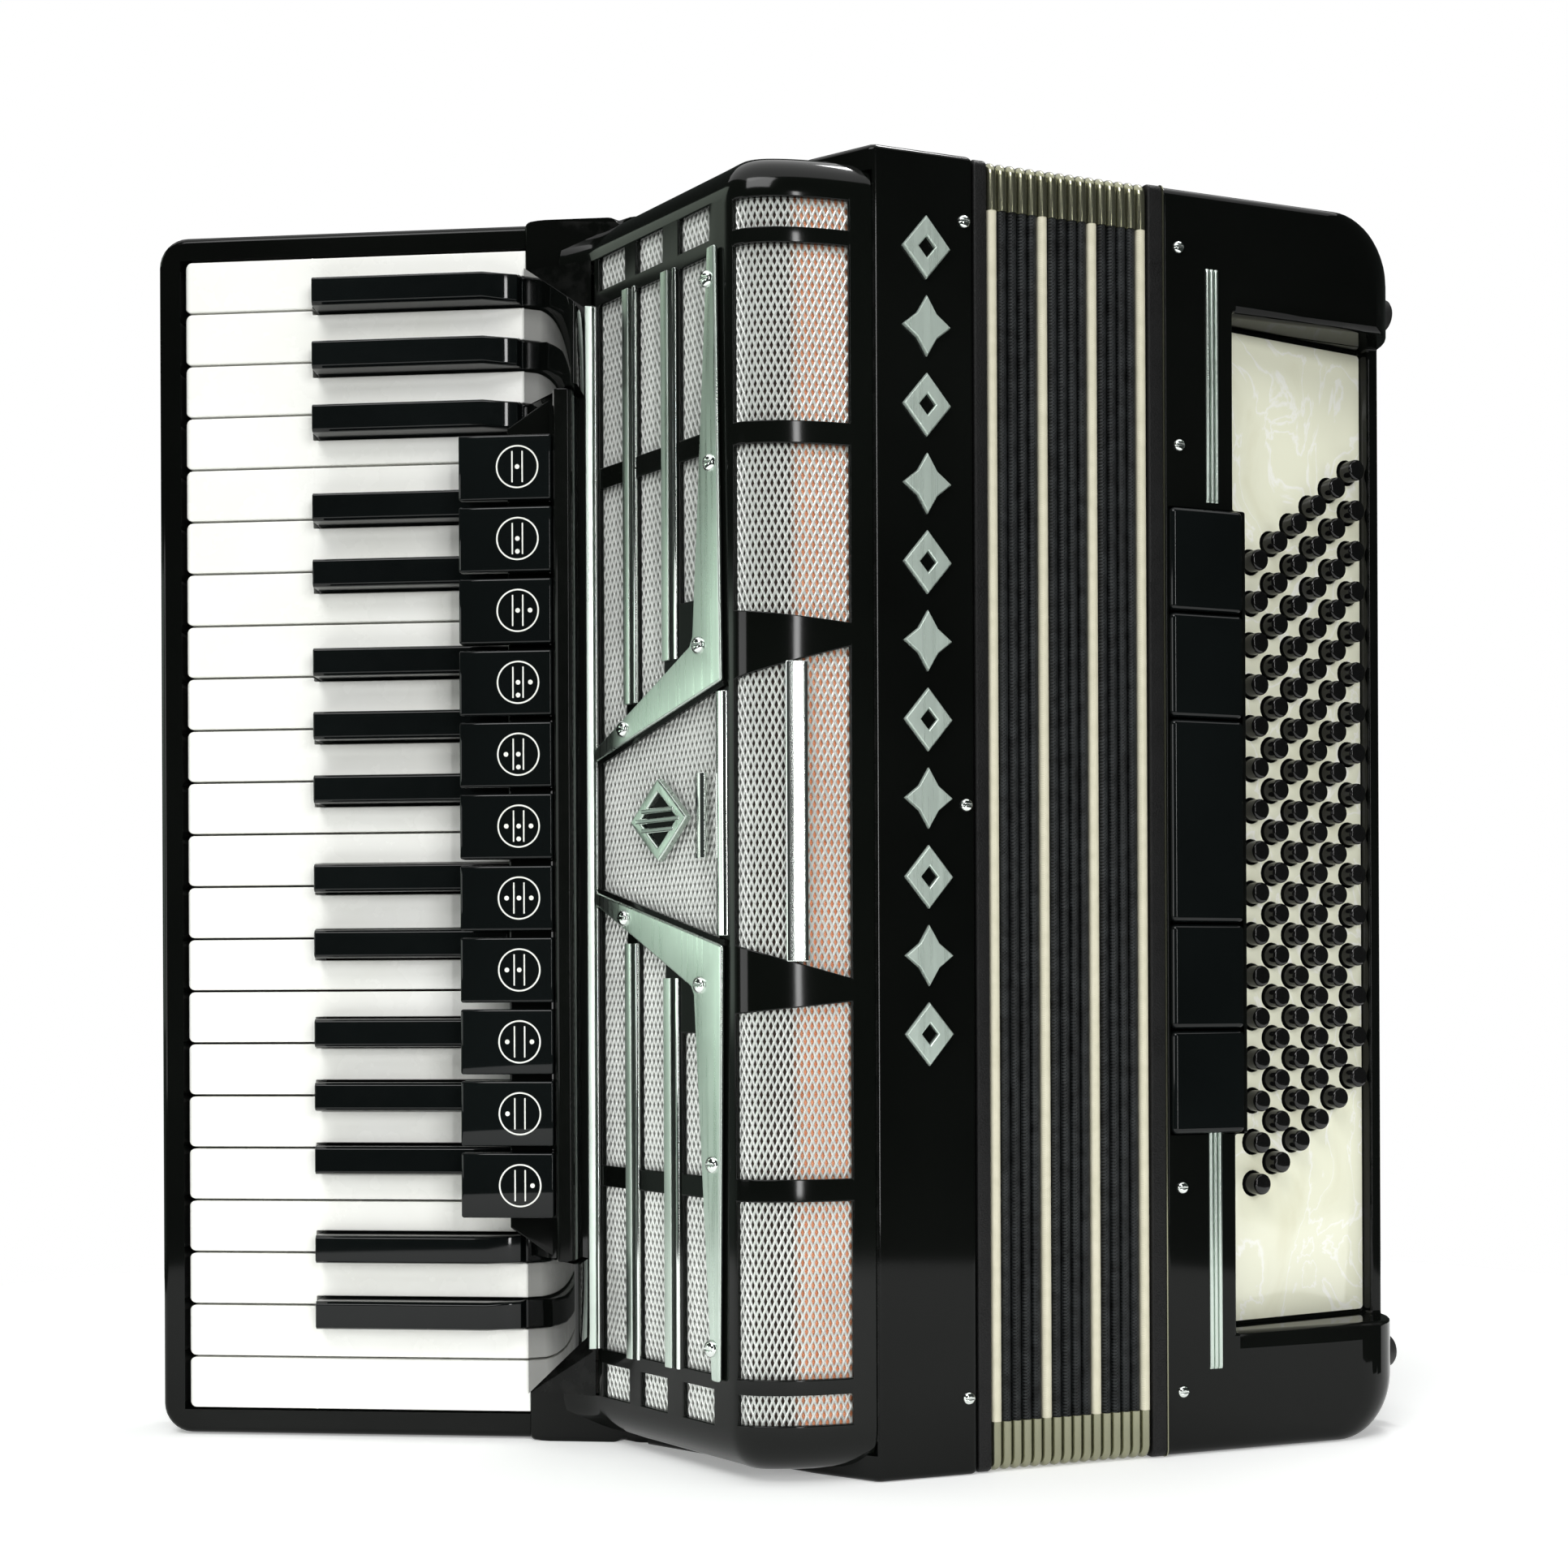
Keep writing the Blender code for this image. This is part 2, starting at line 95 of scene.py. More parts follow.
STRIP_LEFT = 37.0               # leatherette strip at the treble body's bellows side
BELLOWS = (42.4, 103.6)
FOLDS = 16
FOLD_PITCH = (BELLOWS[1] - BELLOWS[0]) / FOLDS
FOLD_DEPTH = 14.0
RIDGE_INSET = 0.4
CORNER_REACH = 17.0             # how far a nickel corner runs along each face
BASS_LEFT = 104.0
BASS_STRIP = 110.0
BASS_RIGHT = 214.0
BASS_CORNER = 24.0
BASS_BRIM = 5.0
PLATE = (Vector((143.0, 17.0)), Vector((209.0, 27.0)))
PLATE_HALF = 182.5
LOBE_ROUND = 6.0
SHELF_LEFT = 138.0
REGISTER_REACH = 111.5
BUTTON_FIRST = (12.7, 93.9)
BUTTON_STEP = (9.4, 7.66)       # from one column to the next: along the plate, and height
BUTTON_PITCH = 15.25


# Places

def above(x, y, z):
    return ORIGIN + Vector((x, y, z)) * MM


def front(x, z, y):
    return above(x, y, z)


def sideways(y, z, x):
    return above(x, y, z)


def key_spot(out, up):
    spot = KEY_ROOT + KEY_OUT * out + KEY_UP * up
    return spot.x, spot.y


def keyed(out, up, z):
    return above(*key_spot(out, up), z)


def key_top(out, z, up):
    return keyed(out, up, z)


def plated(along, z, proud):
    """A point on the slanted bass button plate, lifted off it by proud."""
    line = (PLATE[1] - PLATE[0]).normalized()
    spot = PLATE[0] + line * along + Vector((line.y, -line.x)) * proud
    return above(spot.x, spot.y, z)


def pearl_shelf(along, z, proud):
    """A point on the flat shelf beside the slanted plate."""
    return above(PLATE[0].x + along, PLATE[0].y - proud, z)


# Outlines

def rectangle(left, right, low, high):
    return [(left, low), (right, low), (right, high), (left, high)]


def arc(across, up, radius, start, end, steps=6):
    turns = [math.radians(start + (end - start) * step / steps) for step in range(steps + 1)]
    return [(across + radius * math.cos(turn), up + radius * math.sin(turn)) for turn in turns]


def circle(across, up, radius, sides=24):
    return arc(across, up, radius, 0, 360 * (sides - 1) / sides, sides - 1)


def rounded(left, right, low, high, radius, steps=5):
    """A rectangle with rounded corners."""
    points = arc(right - radius, low + radius, radius, -90, 0, steps)
    points += arc(right - radius, high - radius, radius, 0, 90, steps)
    points += arc(left + radius, high - radius, radius, 90, 180, steps)
    return points + arc(left + radius, low + radius, radius, 180, 270, steps)


def four_points(wide, tall, waist):
    """An outline with four points, drawn in to a waist between them."""
    a, b = waist
    return [(-wide, 0), (-a, b), (0, tall), (a, b), (wide, 0), (a, -b), (0, -tall), (-a, -b)]


def curved(start, crest, end, count):
    """Points from start to end on the quadratic curve that leans towards crest."""
    start, crest, end = Vector(start), Vector(crest), Vector(end)
    return [tuple(start.lerp(crest, t).lerp(crest.lerp(end, t), t)) for t in np.linspace(0, 1, count)]


def mirrored(outline, sign):
    """Turns half heights into heights above or below the middle."""
    return [(a, MIDDLE + sign * half) for a, half in outline]


# Meshes

def build(name, points, faces, merge=0.0):
    """A mesh object at the frame's origin, without the points that no face uses."""
    mesh = bpy.data.meshes.new(name)
    mesh.from_pydata([tuple(point) for point in points], [], faces)
    shape = bmesh.new()
    shape.from_mesh(mesh)
    if merge:
        bmesh.ops.remove_doubles(shape, verts=shape.verts, dist=merge)
    bmesh.ops.recalc_face_normals(shape, faces=shape.faces)
    bmesh.ops.delete(shape, geom=[vert for vert in shape.verts if not vert.link_faces], context="VERTS")
    shape.to_mesh(mesh)
    shape.free()
    made = bpy.data.objects.new(name, mesh)
    bpy.context.scene.collection.objects.link(made)
    return made


def loft(name, *stacks, loop=False):
    """Quads between the successive closed rings of each stack, with a face over both ends.
    A looped stack joins its last ring to its first instead."""
    points, faces = [], []
    for rings in stacks:
        base, count = len(points), len(rings[0])
        points += [point for ring in rings for point in ring]
        span = len(rings) if loop else len(rings) - 1
        for row in range(span):
            here, there = base + row * count, base + (row + 1) % len(rings) * count
            for side in range(count):
                beside = (side + 1) % count
                faces.append((here + side, here + beside, there + beside, there + side))
        if not loop:
            faces.append(tuple(range(base, base + count)))
            faces.append(tuple(range(base + (len(rings) - 1) * count, len(points))))
    return build(name, points, faces)


def prisms(name, outlines, low, high, space=above):
    stacks = [[[space(a, b, depth) for a, b in outline] for depth in (low, high)] for outline in outlines]
    return loft(name, *stacks)


def prism(name, outline, low, high, space=above):
    return prisms(name, [outline], low, high, space)


def turned(profile, across, up, space, sides=24):
    """Rings of a turned shape; each step of its profile is a radius and a depth."""
    return [[space(a, b, depth) for a, b in circle(across, up, radius, sides)] for radius, depth in profile]


def bake(target):
    """Replaces a mesh by what its modifiers make of it."""
    graph = bpy.context.evaluated_depsgraph_get()
    mesh = bpy.data.meshes.new_from_object(target.evaluated_get(graph), depsgraph=graph)
    target.modifiers.clear()
    target.data = mesh


def carve(target, tool, operation="DIFFERENCE"):
    """Applies a boolean and deletes the tool."""
    modifier = target.modifiers.new("carve", "BOOLEAN")
    modifier.operation, modifier.solver, modifier.object = operation, "EXACT", tool
    bake(target)
    bpy.data.objects.remove(tool)


def cut(target, outlines, low, high, space=above):
    """Cuts prisms out of a piece."""
    carve(target, prisms("tool", outlines, low, high, space))


def soften(target, width, segments=3, angle=35.0):
    """Rounds the edges that are sharper than an angle, for good."""
    modifier = target.modifiers.new("soften", "BEVEL")
    modifier.width, modifier.segments = width * MM, segments
    modifier.limit_method, modifier.angle_limit = "ANGLE", math.radians(angle)
    modifier.use_clamp_overlap = False
    bake(target)


def join(first, other):
    shape = bmesh.new()
    for each in (first, other):
        shape.from_mesh(each.data)
    shape.to_mesh(first.data)
    shape.free()
    bpy.data.objects.remove(other)
    return first


def dress(piece, finish, body="treble", replaces=None, bevel=0.0, segments=2, angle=40.0, even=False):
    """Edges, smooth shading, material and place in the frame of one piece. An even piece, like every
    bevelled one, keeps the reflections on its flat faces flat."""
    if bevel:
        soften(piece, bevel, segments, angle)
    piece.data.materials.clear()
    piece.data.materials.append(finish.made)
    for polygon in piece.data.polygons:
        polygon.use_smooth = True
        polygon.material_index = 0
    piece.data.set_sharp_from_angle(angle=math.radians(SHARP_ANGLE))
    if bevel or even:
        weighted = piece.modifiers.new("normals", "WEIGHTED_NORMAL")
        weighted.keep_sharp = True
    if replaces:
        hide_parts(replaces)
    if body:
        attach(piece, body)


# Materials

class Finish:
    """A Principled material whose colour, roughness and bump come from procedural nodes."""

    def __init__(self, name, colour, roughness, metallic=0.0, **sockets):
        self.made = bpy.data.materials.new(name)
        self.made.use_nodes = True
        self.tree = self.made.node_tree
        self.shader = self.tree.nodes["Principled BSDF"]
        self.set("Base Color", (*colour, 1.0))
        self.set("Roughness", roughness)
        self.set("Metallic", metallic)
        for socket, value in sockets.items():
            self.set(socket.replace("_", " "), value)
        self.where = self.node("ShaderNodeTexCoord").outputs["Object"]

    def set(self, socket, value):
        self.shader.inputs[socket].default_value = value

    def node(self, kind, **values):
        """A node with some of its properties and sockets set."""
        made = self.tree.nodes.new(kind)
        for key, value in values.items():
            if hasattr(made, key):
                setattr(made, key, value)
            else:
                made.inputs[key].default_value = value
        return made

    def link(self, source, target):
        self.tree.links.new(source, target)

    def texture(self, kind, output, stretch, **values):
        """A texture over coordinates that are scaled by different amounts along the three axes."""
        made = self.node(kind, **values)
        mapping = self.node("ShaderNodeMapping", Scale=stretch)
        self.link(self.where, mapping.inputs["Vector"])
        self.link(mapping.outputs["Vector"], made.inputs["Vector"])
        return made.outputs[output]

    def noise(self, scale, detail=4.0, distortion=0.0, stretch=(1, 1, 1)):
        values = {"Scale": scale, "Detail": detail, "Distortion": distortion}
        return self.texture("ShaderNodeTexNoise", "Fac", stretch, **values)

    def bands(self, scale, stretch):
        return self.texture("ShaderNodeTexWave", "Fac", stretch, bands_direction="DIAGONAL", Scale=scale)

    def mixed(self, first, second, how="MULTIPLY"):
        made = self.node("ShaderNodeMath", operation=how)
        self.link(first, made.inputs[0])
        self.link(second, made.inputs[1])
        return made.outputs[0]

    def spread(self, source, start, end, low, high):
        """Maps a run of source from start to end onto low to high."""
        made = self.node("ShaderNodeMapRange")
        for socket, value in zip(("From Min", "From Max", "To Min", "To Max"), (start, end, low, high)):
            made.inputs[socket].default_value = value
        self.link(source, made.inputs["Value"])
        return made.outputs["Result"]

    def ramp(self, source, stops):
        """A colour ramp with (place, colour) stops."""
        made = self.node("ShaderNodeValToRGB")
        elements = made.color_ramp.elements
        elements[0].position, elements[0].color = stops[0][0], (*stops[0][1], 1.0)
        elements[1].position, elements[1].color = stops[-1][0], (*stops[-1][1], 1.0)
        for place, colour in stops[1:-1]:
            elements.new(place).color = (*colour, 1.0)
        self.link(source, made.inputs["Fac"])
        return made.outputs["Color"]

    def tint(self, source, stops):
        self.link(self.ramp(source, stops), self.shader.inputs["Base Color"])

    def gloss(self, source, low, high):
        """Roughness between low and high, where source runs from 0.3 to 0.7."""
        self.link(self.spread(source, 0.3, 0.7, low, high), self.shader.inputs["Roughness"])

    def bump(self, source, depth):
        """Relief of a depth in millimetres, on top of any that is there already."""
        made = self.node("ShaderNodeBump", Strength=1.0, Distance=depth * MM)
        self.link(source, made.inputs["Height"])
        target = self.shader.inputs["Normal"]
        if target.is_linked:
            self.link(target.links[0].from_socket, made.inputs["Normal"])
        self.link(made.outputs["Normal"], target)

    def mix_base(self, factor, plain, colour, present):
        """Mixes the present base colour with a plain one. Each is on side A, which shows where the
        factor is 0, or B."""
        mix = self.node("ShaderNodeMix", data_type="RGBA")
        mix.inputs[plain].default_value = (*colour, 1.0)
        target = self.shader.inputs["Base Color"]
        self.link(target.links[0].from_socket, mix.inputs[present])
        self.link(factor, mix.inputs["Factor"])
        self.link(mix.outputs["Result"], target)

    def paler_edges(self, amount):
        """Paler convex edges, in noisy patches, over the present base colour."""
        pointed = self.node("ShaderNodeNewGeometry").outputs["Pointiness"]
        edge = self.ramp(pointed, [(0.55, (0, 0, 0)), (0.66, (amount,) * 3)])
        patchy = self.ramp(self.noise(180.0), [(0.4, (0, 0, 0)), (0.65, (1, 1, 1))])
        self.mix_base(self.mixed(edge, patchy), "B", (0.05, 0.05, 0.048), "A")


def gloss_black(name, colour, roughness, wave=0.004, ior=1.3, edge_paling=0.3):
    """Black lacquer or celluloid, with convex edges made paler by some amount."""
    made = Finish(name, colour, roughness, IOR=ior)
    low, high = [c * 0.75 for c in colour], [c * 1.5 for c in colour]
    made.tint(made.noise(9.0, 6.0), [(0.3, low), (0.7, high)])
    made.gloss(made.noise(25.0, 3.0), roughness * 0.92, roughness * 1.1)
    made.bump(made.noise(14.0, 2.0), wave)
    made.bump(made.noise(900.0, 3.0, stretch=(1, 1, 0.05)), 0.0006)
    if edge_paling:
        made.paler_edges(edge_paling)
    return made


def metal(name, colour, roughness, scratch, metallic=1.0):
    """Polished or brushed metal with fine lines along its height."""
    made = Finish(name, colour, roughness, metallic)
    low, high = [c * 0.92 for c in colour], [min(1.0, c * 1.05) for c in colour]
    lines = (1, 1, 0.02)
    made.tint(made.noise(45.0, 6.0), [(0.3, low), (0.7, high)])
    made.gloss(made.noise(700.0, 5.0, stretch=lines), roughness * 0.75, roughness * 1.3)
    made.bump(made.noise(1500.0, 3.0, stretch=lines), scratch)
    return made


def woven(name, dark, light, pitch, depth, roughness, slant=0.6, **sockets):
    """Cloth or leatherette with threads every pitch millimetres."""
    made = Finish(name, light, roughness, **sockets)
    rate = 1.0 / (pitch * MM) / math.tau * math.pi
    threads = made.mixed(*(made.bands(rate, (lean, lean, 1)) for lean in (slant, -slant)), "MAXIMUM")
    made.tint(made.mixed(threads, made.noise(220.0, 4.0)), [(0.15, dark), (0.6, light)])
    made.gloss(made.noise(300.0), roughness * 0.8, roughness * 1.2)
    made.bump(threads, depth)
    made.bump(made.noise(900.0), depth * 0.5)
    return made


def copper_cloth_with_painted_shade():
    """Copper weave with painted shade: it is coloured near black everywhere but on the flat of the front,
    standing in for the shadow of the mesh strands over it.
    """
    made = woven("grille_cloth", (0.70, 0.22, 0.09), (0.98, 0.45, 0.26), 0.5, 0.05, 0.75)
    across = made.node("ShaderNodeSeparateXYZ")
    made.link(made.where, across.inputs["Vector"])
    # Painted shade: left of this line the cloth is near black, as if shaded by the mesh strands; right of it,
    # copper.
    edge = ORIGIN.x - 26.0 * MM
    gradient_factor = made.spread(across.outputs["X"], edge - 2.0 * MM, edge + 2.0 * MM, 0.0, 1.0)
    made.mix_base(gradient_factor, "A", (0.03, 0.016, 0.011), "B")
    return made


def grained(name, dark, light, grain, depth, roughness, **sockets):
    """Pebbled leather, leatherette or rubber."""
    made = Finish(name, light, roughness, **sockets)
    pebbles = made.texture("ShaderNodeTexVoronoi", "Distance", (1, 1, 1), Scale=1.0 / (grain * MM))
    made.tint(made.mixed(pebbles, made.noise(80.0), "ADD"), [(0.3, dark), (1.1, light)])
    made.gloss(made.noise(120.0), roughness * 0.8, roughness * 1.15)
    made.bump(pebbles, depth)
    return made


def pearl():
    """Cream celluloid with pale feathery streaks under the surface."""
    made = Finish("pearl_cream", (0.86, 0.84, 0.70), 0.12, Coat_Weight=0.5, Coat_Roughness=0.05)
    cream, deep, white = (0.87, 0.875, 0.70), (0.81, 0.805, 0.62), (0.97, 0.97, 0.90)
    streaks = made.noise(34.0, 7.0, 1.2, stretch=(1, 1, 0.7))
    stops = [(0.30, deep), (0.44, cream), (0.47, cream), (0.487, white), (0.50, cream), (0.60, cream),
             (0.615, white), (0.63, cream), (0.8, deep)]
    made.tint(streaks, stops)
    made.gloss(made.noise(50.0), 0.08, 0.2)
    made.bump(streaks, 0.03)
    return made


def ivory():
    """Polished cream of the white keys, a little yellower in patches."""
    made = Finish("ivory_cream", (0.92, 0.92, 0.88), 0.25, Coat_Weight=0.2, Coat_Roughness=0.08)
    made.tint(made.noise(24.0, 5.0, 0.4), [(0.25, (0.90, 0.90, 0.85)), (0.75, (0.94, 0.94, 0.91))])
    made.gloss(made.noise(90.0, 5.0), 0.2, 0.32)
    made.bump(made.noise(500.0, 3.0, stretch=(0.06, 0.06, 1)), 0.001)
    return made


def timber():
    made = Finish("spruce", (0.55, 0.36, 0.18), 0.5)
    grain = made.noise(60.0, 6.0, 0.6, stretch=(1, 1, 0.06))
    made.tint(grain, [(0.3, (0.42, 0.25, 0.11)), (0.7, (0.66, 0.46, 0.25))])
    made.gloss(grain, 0.4, 0.6)
    made.bump(grain, 0.05)
    return made


def inlay():
    """White filling of the register signs."""
    made = Finish("inlay_white", (0.85, 0.86, 0.80), 0.35)
    made.tint(made.noise(400.0), [(0.3, (0.75, 0.76, 0.70)), (0.7, (0.92, 0.93, 0.88))])
    made.bump(made.noise(1200.0), 0.003)
    return made


BLACK = gloss_black("celluloid_gloss", (0.0026, 0.0030, 0.0026), 0.06, ior=1.26)
RAIL_BLACK = gloss_black("rail_gloss", (0.0026, 0.0030, 0.0026), 0.03, 0.001, 1.44, edge_paling=0.0)
KEY_BLACK = gloss_black("key_gloss", (0.003, 0.004, 0.004), 0.05, 0.0003, 1.36)
BUTTON_BLACK = gloss_black("button_gloss", (0.004, 0.004, 0.004), 0.1, 0.001, 1.45)
COVER_BLACK = gloss_black("cover_gloss", (0.0026, 0.0032, 0.0026), 0.09, 0.002, 1.32)
IVORY = ivory()
PEARL = pearl()
INLAY = inlay()
CHROME = metal("chrome", (0.78, 0.82, 0.79), 0.07, 0.0006)
SATIN = metal("satin_steel", (0.58, 0.66, 0.60), 0.3, 0.002)
BADGE = metal("badge_silver", (0.60, 0.70, 0.63), 0.3, 0.003, 0.55)
MESH_SILVER = metal("mesh_silver", (0.74, 0.76, 0.73), 0.36, 0.001, 0.45)
NICKEL = metal("aged_nickel", (0.30, 0.30, 0.21), 0.17, 0.0001, 0.9)
GRILLE_CLOTH = copper_cloth_with_painted_shade()
FOLD_CLOTH = woven(
    "fold_leatherette", (0.001, 0.001, 0.001), (0.026, 0.029, 0.030), 0.9, 0.2, 0.38, 1.0, IOR=1.28
)
TAPE = woven("tape_cream", (0.54, 0.52, 0.39), (0.68, 0.65, 0.51), 0.5, 0.02, 0.6)
STRIP = grained("strip_leatherette", (0.002, 0.002, 0.002), (0.012, 0.012, 0.012), 0.6, 0.1, 0.4, IOR=1.25)
LEATHER = grained("strap_leather", (0.008, 0.006, 0.005), (0.03, 0.026, 0.022), 1.1, 0.12, 0.45)
RUBBER = grained("rubber_black", (0.006, 0.006, 0.006), (0.016, 0.016, 0.016), 0.8, 0.03, 0.6)
FELT = grained("felt_dark", (0.015, 0.004, 0.004), (0.05, 0.012, 0.012), 0.4, 0.1, 0.95)
SPRUCE = timber()
SLOTS = {
    "celluloid_black": (BLACK, RAIL_BLACK, COVER_BLACK, STRIP, LEATHER, RUBBER, FELT),
    "grille_silver": (CHROME, SATIN, BADGE, MESH_SILVER, NICKEL, GRILLE_CLOTH),
    "key_cream": (IVORY, PEARL, INLAY, TAPE),
    "key_black": (KEY_BLACK,),
    "button_black": (BUTTON_BLACK,),
    "bellows_board": (FOLD_CLOTH,),
}
for slot_name, finishes in SLOTS.items():
    for each_finish in finishes:
        each_finish.slot = slot_name


# Treble body, keyboard frame and the housing of the registers

def treble_body():
    outline = [
        (STRIP_LEFT, 0.0), (STRIP_LEFT, DEPTH), (BACK_LEFT + WALL, DEPTH), (BACK_LEFT, DEPTH - WALL),
        (BACK_LEFT, 139.0), key_spot(0, -BED_DEPTH), key_spot(0, 1.6), key_spot(RAIL_END - 1, RAIL_RISE),
        (-64.0, 92.0), (-16.0, 19.0), (0.0, 0.0),
    ]
    body = prism("treble_case", outline, 0, HEIGHT)
    soften(body, 2.4, 4, 25)
    cut(body, [rectangle(-6, 38, WALL, DEPTH - WALL)], WALL, HEIGHT - WALL)
    chamber = [
        (-12.0, -30.0), (-12.0, DEPTH - WALL), (BACK_LEFT + WALL, DEPTH - WALL), (BACK_LEFT + WALL, 137.0),
        key_spot(-5, BED_FLOOR - BED_DEPTH), key_spot(30, BED_FLOOR - BED_DEPTH),
        key_spot(30, 0.6), key_spot(RAIL_END, 0.6), key_spot(RAIL_END, 60), (-96.0, -30.0),
    ]
    cut(body, [chamber], END_PLATE, HEIGHT - END_PLATE)
    cut(body, [rectangle(-14, 0, -1, 3.5)], END_PLATE, HEIGHT - END_PLATE)
    over_tails = [rectangle(-45, 6, 1.7, 60)]
    cut(body, over_tails, -1, MIDDLE - RAIL_HALF, keyed)
    cut(body, over_tails, MIDDLE + RAIL_HALF, HEIGHT + 1, keyed)
    dress(body, BLACK, replaces="treble_body", even=True)


def key_rail():
    """Polished rail over the key tails: low under the registers, a steep wedge beyond them."""
    profile = [(0.0, 0.9), (0.0, 1.8), (-4.8, 7.2)]
    profile += curved((-9.6, 12.6), (-13.0, 16.4), (-27.4, 10.7), 12)
    profile += [(-27.4, 0.9)]
    dress(prism("key_rail", profile, MIDDLE - HOUSING_HALF, MIDDLE + HOUSING_HALF, keyed), RAIL_BLACK)
    wedge = [(0.0, 0.9), (0.0, 1.8), *curved((-22.4, 28.4), (-23.8, 30.1), (-24.6, 27.4), 7)]
    wedge += [(-24.4, 10.0), (-24.4, 0.9)]
    for word, sign in HALVES:
        near = [keyed(out, up, MIDDLE + sign * (HOUSING_HALF + 0.2)) for out, up in wedge]
        far = [keyed(out, up, MIDDLE + sign * (RAIL_HALF + 1.0 + out * 0.95)) for out, up in wedge]
        dress(loft(f"rail_wedge_{word}", [near, far]), RAIL_BLACK)


def keyboard_frame():
    low, high = 0.6, HEIGHT - 0.6
    inner = BED_EDGE - BED_CORNER
    outline = [(-14.0, low), *arc(inner, low + BED_CORNER, BED_CORNER, -90, 0, 8)]
    outline += [*arc(inner, high - BED_CORNER, BED_CORNER, 0, 90, 8), (-14.0, high)]
    tray = prism("keyboard_tray", outline, -BED_DEPTH, 0, key_top)
    soften(tray, 2.6, 4, 30)
    pocket = rectangle(-15.0, KEY_LENGTH + 1.3, CHEEK + 2.0, HEIGHT - CHEEK - 2.0)
    cut(tray, [pocket], BED_FLOOR - BED_DEPTH, 5, key_top)
    dress(tray, BLACK, replaces="keyboard_frame", even=True)
    felt = prism("keybed_felt", rectangle(20, KEY_LENGTH - 4, 11, HEIGHT - 11), -24.9, -22.5, key_top)
    dress(felt, FELT, bevel=0.4)


def register_housing():
    """Box behind the register tabs, slotted for their levers, and the shelf under the tabs."""
    half = HOUSING_HALF
    profile = [(-14.9, 4.0), (-14.9, 23.4), (-16.2, 25.0), (-20.9, 25.0), (-21.9, 23.6), (-22.6, 9.0)]
    housing = prism("register_housing", profile, MIDDLE - half, MIDDLE + half, keyed)
    heights = [MIDDLE + REGISTER_PITCH * step for step in range(-5, 6)]
    slots = [rectangle(-21.2, -13.0, height - 6.2, height + 6.2) for height in heights]
    cut(housing, slots, 14.3, 20.7, key_top)
    dress(housing, BLACK, bevel=0.7)
    rings = []
    for height, out in ((-half + 1, -11.0), (-half + 11, 4.0), (half - 11, 4.0), (half - 1, -11.0)):
        shape = [(-16.5, 11.4), (-16.5, 13.8), (out - 0.6, 13.8), (out, 13.2), (out, 11.4)]
        rings.append([keyed(a, b, MIDDLE + height) for a, b in shape])
    dress(loft("register_shelf", rings), BLACK, bevel=0.35)


# Keys

TAIL = [                        # (out, bottom) round the groove for the axle
    (-46.0, -KEY_THICK), (AXLE_OUT - AXLE_SLOT, -KEY_THICK), (AXLE_OUT - AXLE_SLOT, -5.7),
    (AXLE_OUT + AXLE_SLOT, -5.7), (AXLE_OUT + AXLE_SLOT, -KEY_THICK),
]


def heights_of(name):
    """The lower and upper end of a CAD node."""
    return tuple(corner.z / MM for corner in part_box(name))


def white_keys(names, blacks):
    """White keys, notched beside the black ones, with a rounded nose."""
    stations = [(out, bottom, 0, 0, False) for out, bottom in TAIL]
    stations += [(TIP_START, -KEY_THICK, 0, 0, full) for full in (False, True)]
    for turn in (0, 18, 36, 54, 70, 84):
        drop = KEY_NOSE * (1 - math.cos(math.radians(turn)))
        reach = KEY_LENGTH - KEY_NOSE + KEY_NOSE * math.sin(math.radians(turn))
        stations.append((reach, -KEY_THICK, -drop, drop, True))
    for name in names:
        tip = low, high = heights_of(name)
        for bottom, top in (heights_of(black) for black in blacks):
            if tip[0] < top + BLACK_GAP < tip[1]:
                low = top + BLACK_GAP
            if tip[0] < bottom - BLACK_GAP < tip[1]:
                high = bottom - BLACK_GAP
        rings = []
        for out, bottom, top, inset, full in stations:
            left, right = tip if full else (low, high)
            section = rectangle(left + inset, right - inset, bottom, top)
            rings.append([keyed(out, up, z) for z, up in section])
        dress(loft(name + "_cap", rings), IVORY, name, name, bevel=0.5, segments=3)


def black_keys(names):
    """Black keys with a sloping front, narrower at the top, and a low tail."""
    stations = [(out, bottom, 0.6, 0) for out, bottom in TAIL]
    stations += [
        (1.2, -KEY_THICK, 0.6, 0), (1.8, -KEY_THICK, 5.0, 0), (14.0, -KEY_THICK, BLACK_RISE, 0),
        (TIP_START - BLACK_GAP, -KEY_THICK, BLACK_RISE, 2.2),
    ]
    for name in names:
        low, high = heights_of(name)
        rings = []
        for out, bottom, top, lean in stations:
            pinch = 0.9 * min(1.0, top / BLACK_RISE)
            edge, shoulder = out - lean * 0.75, max(top - 1.6, -0.5)
            rings.append([
                keyed(out, bottom, low), keyed(out, bottom, high), keyed(edge, shoulder, high),
                keyed(out - lean, top, high - pinch), keyed(out - lean, top, low + pinch),
                keyed(edge, shoulder, low),
            ])
        dress(loft(name + "_cap", rings), KEY_BLACK, name, name, bevel=0.45, segments=2, angle=24)


# Treble registers with their inlaid reed signs

TAB_TOP = 22.0
INLAY_DEPTHS = (TAB_TOP - 0.3, TAB_TOP + 0.04)
SIGN_RADII = (7.2, 7.75)
BAR_APART = 1.85
SIGN_DOTS = ["C", "CD", "CR", "CRD", "LCD", "LCRD", "LCR", "LC", "LR", "L", "R"]
DOT_PLACES = {"C": (0.0, 0.0), "D": (0.0, -4.6), "L": (4.5, 0.0), "R": (-4.5, 0.0)}


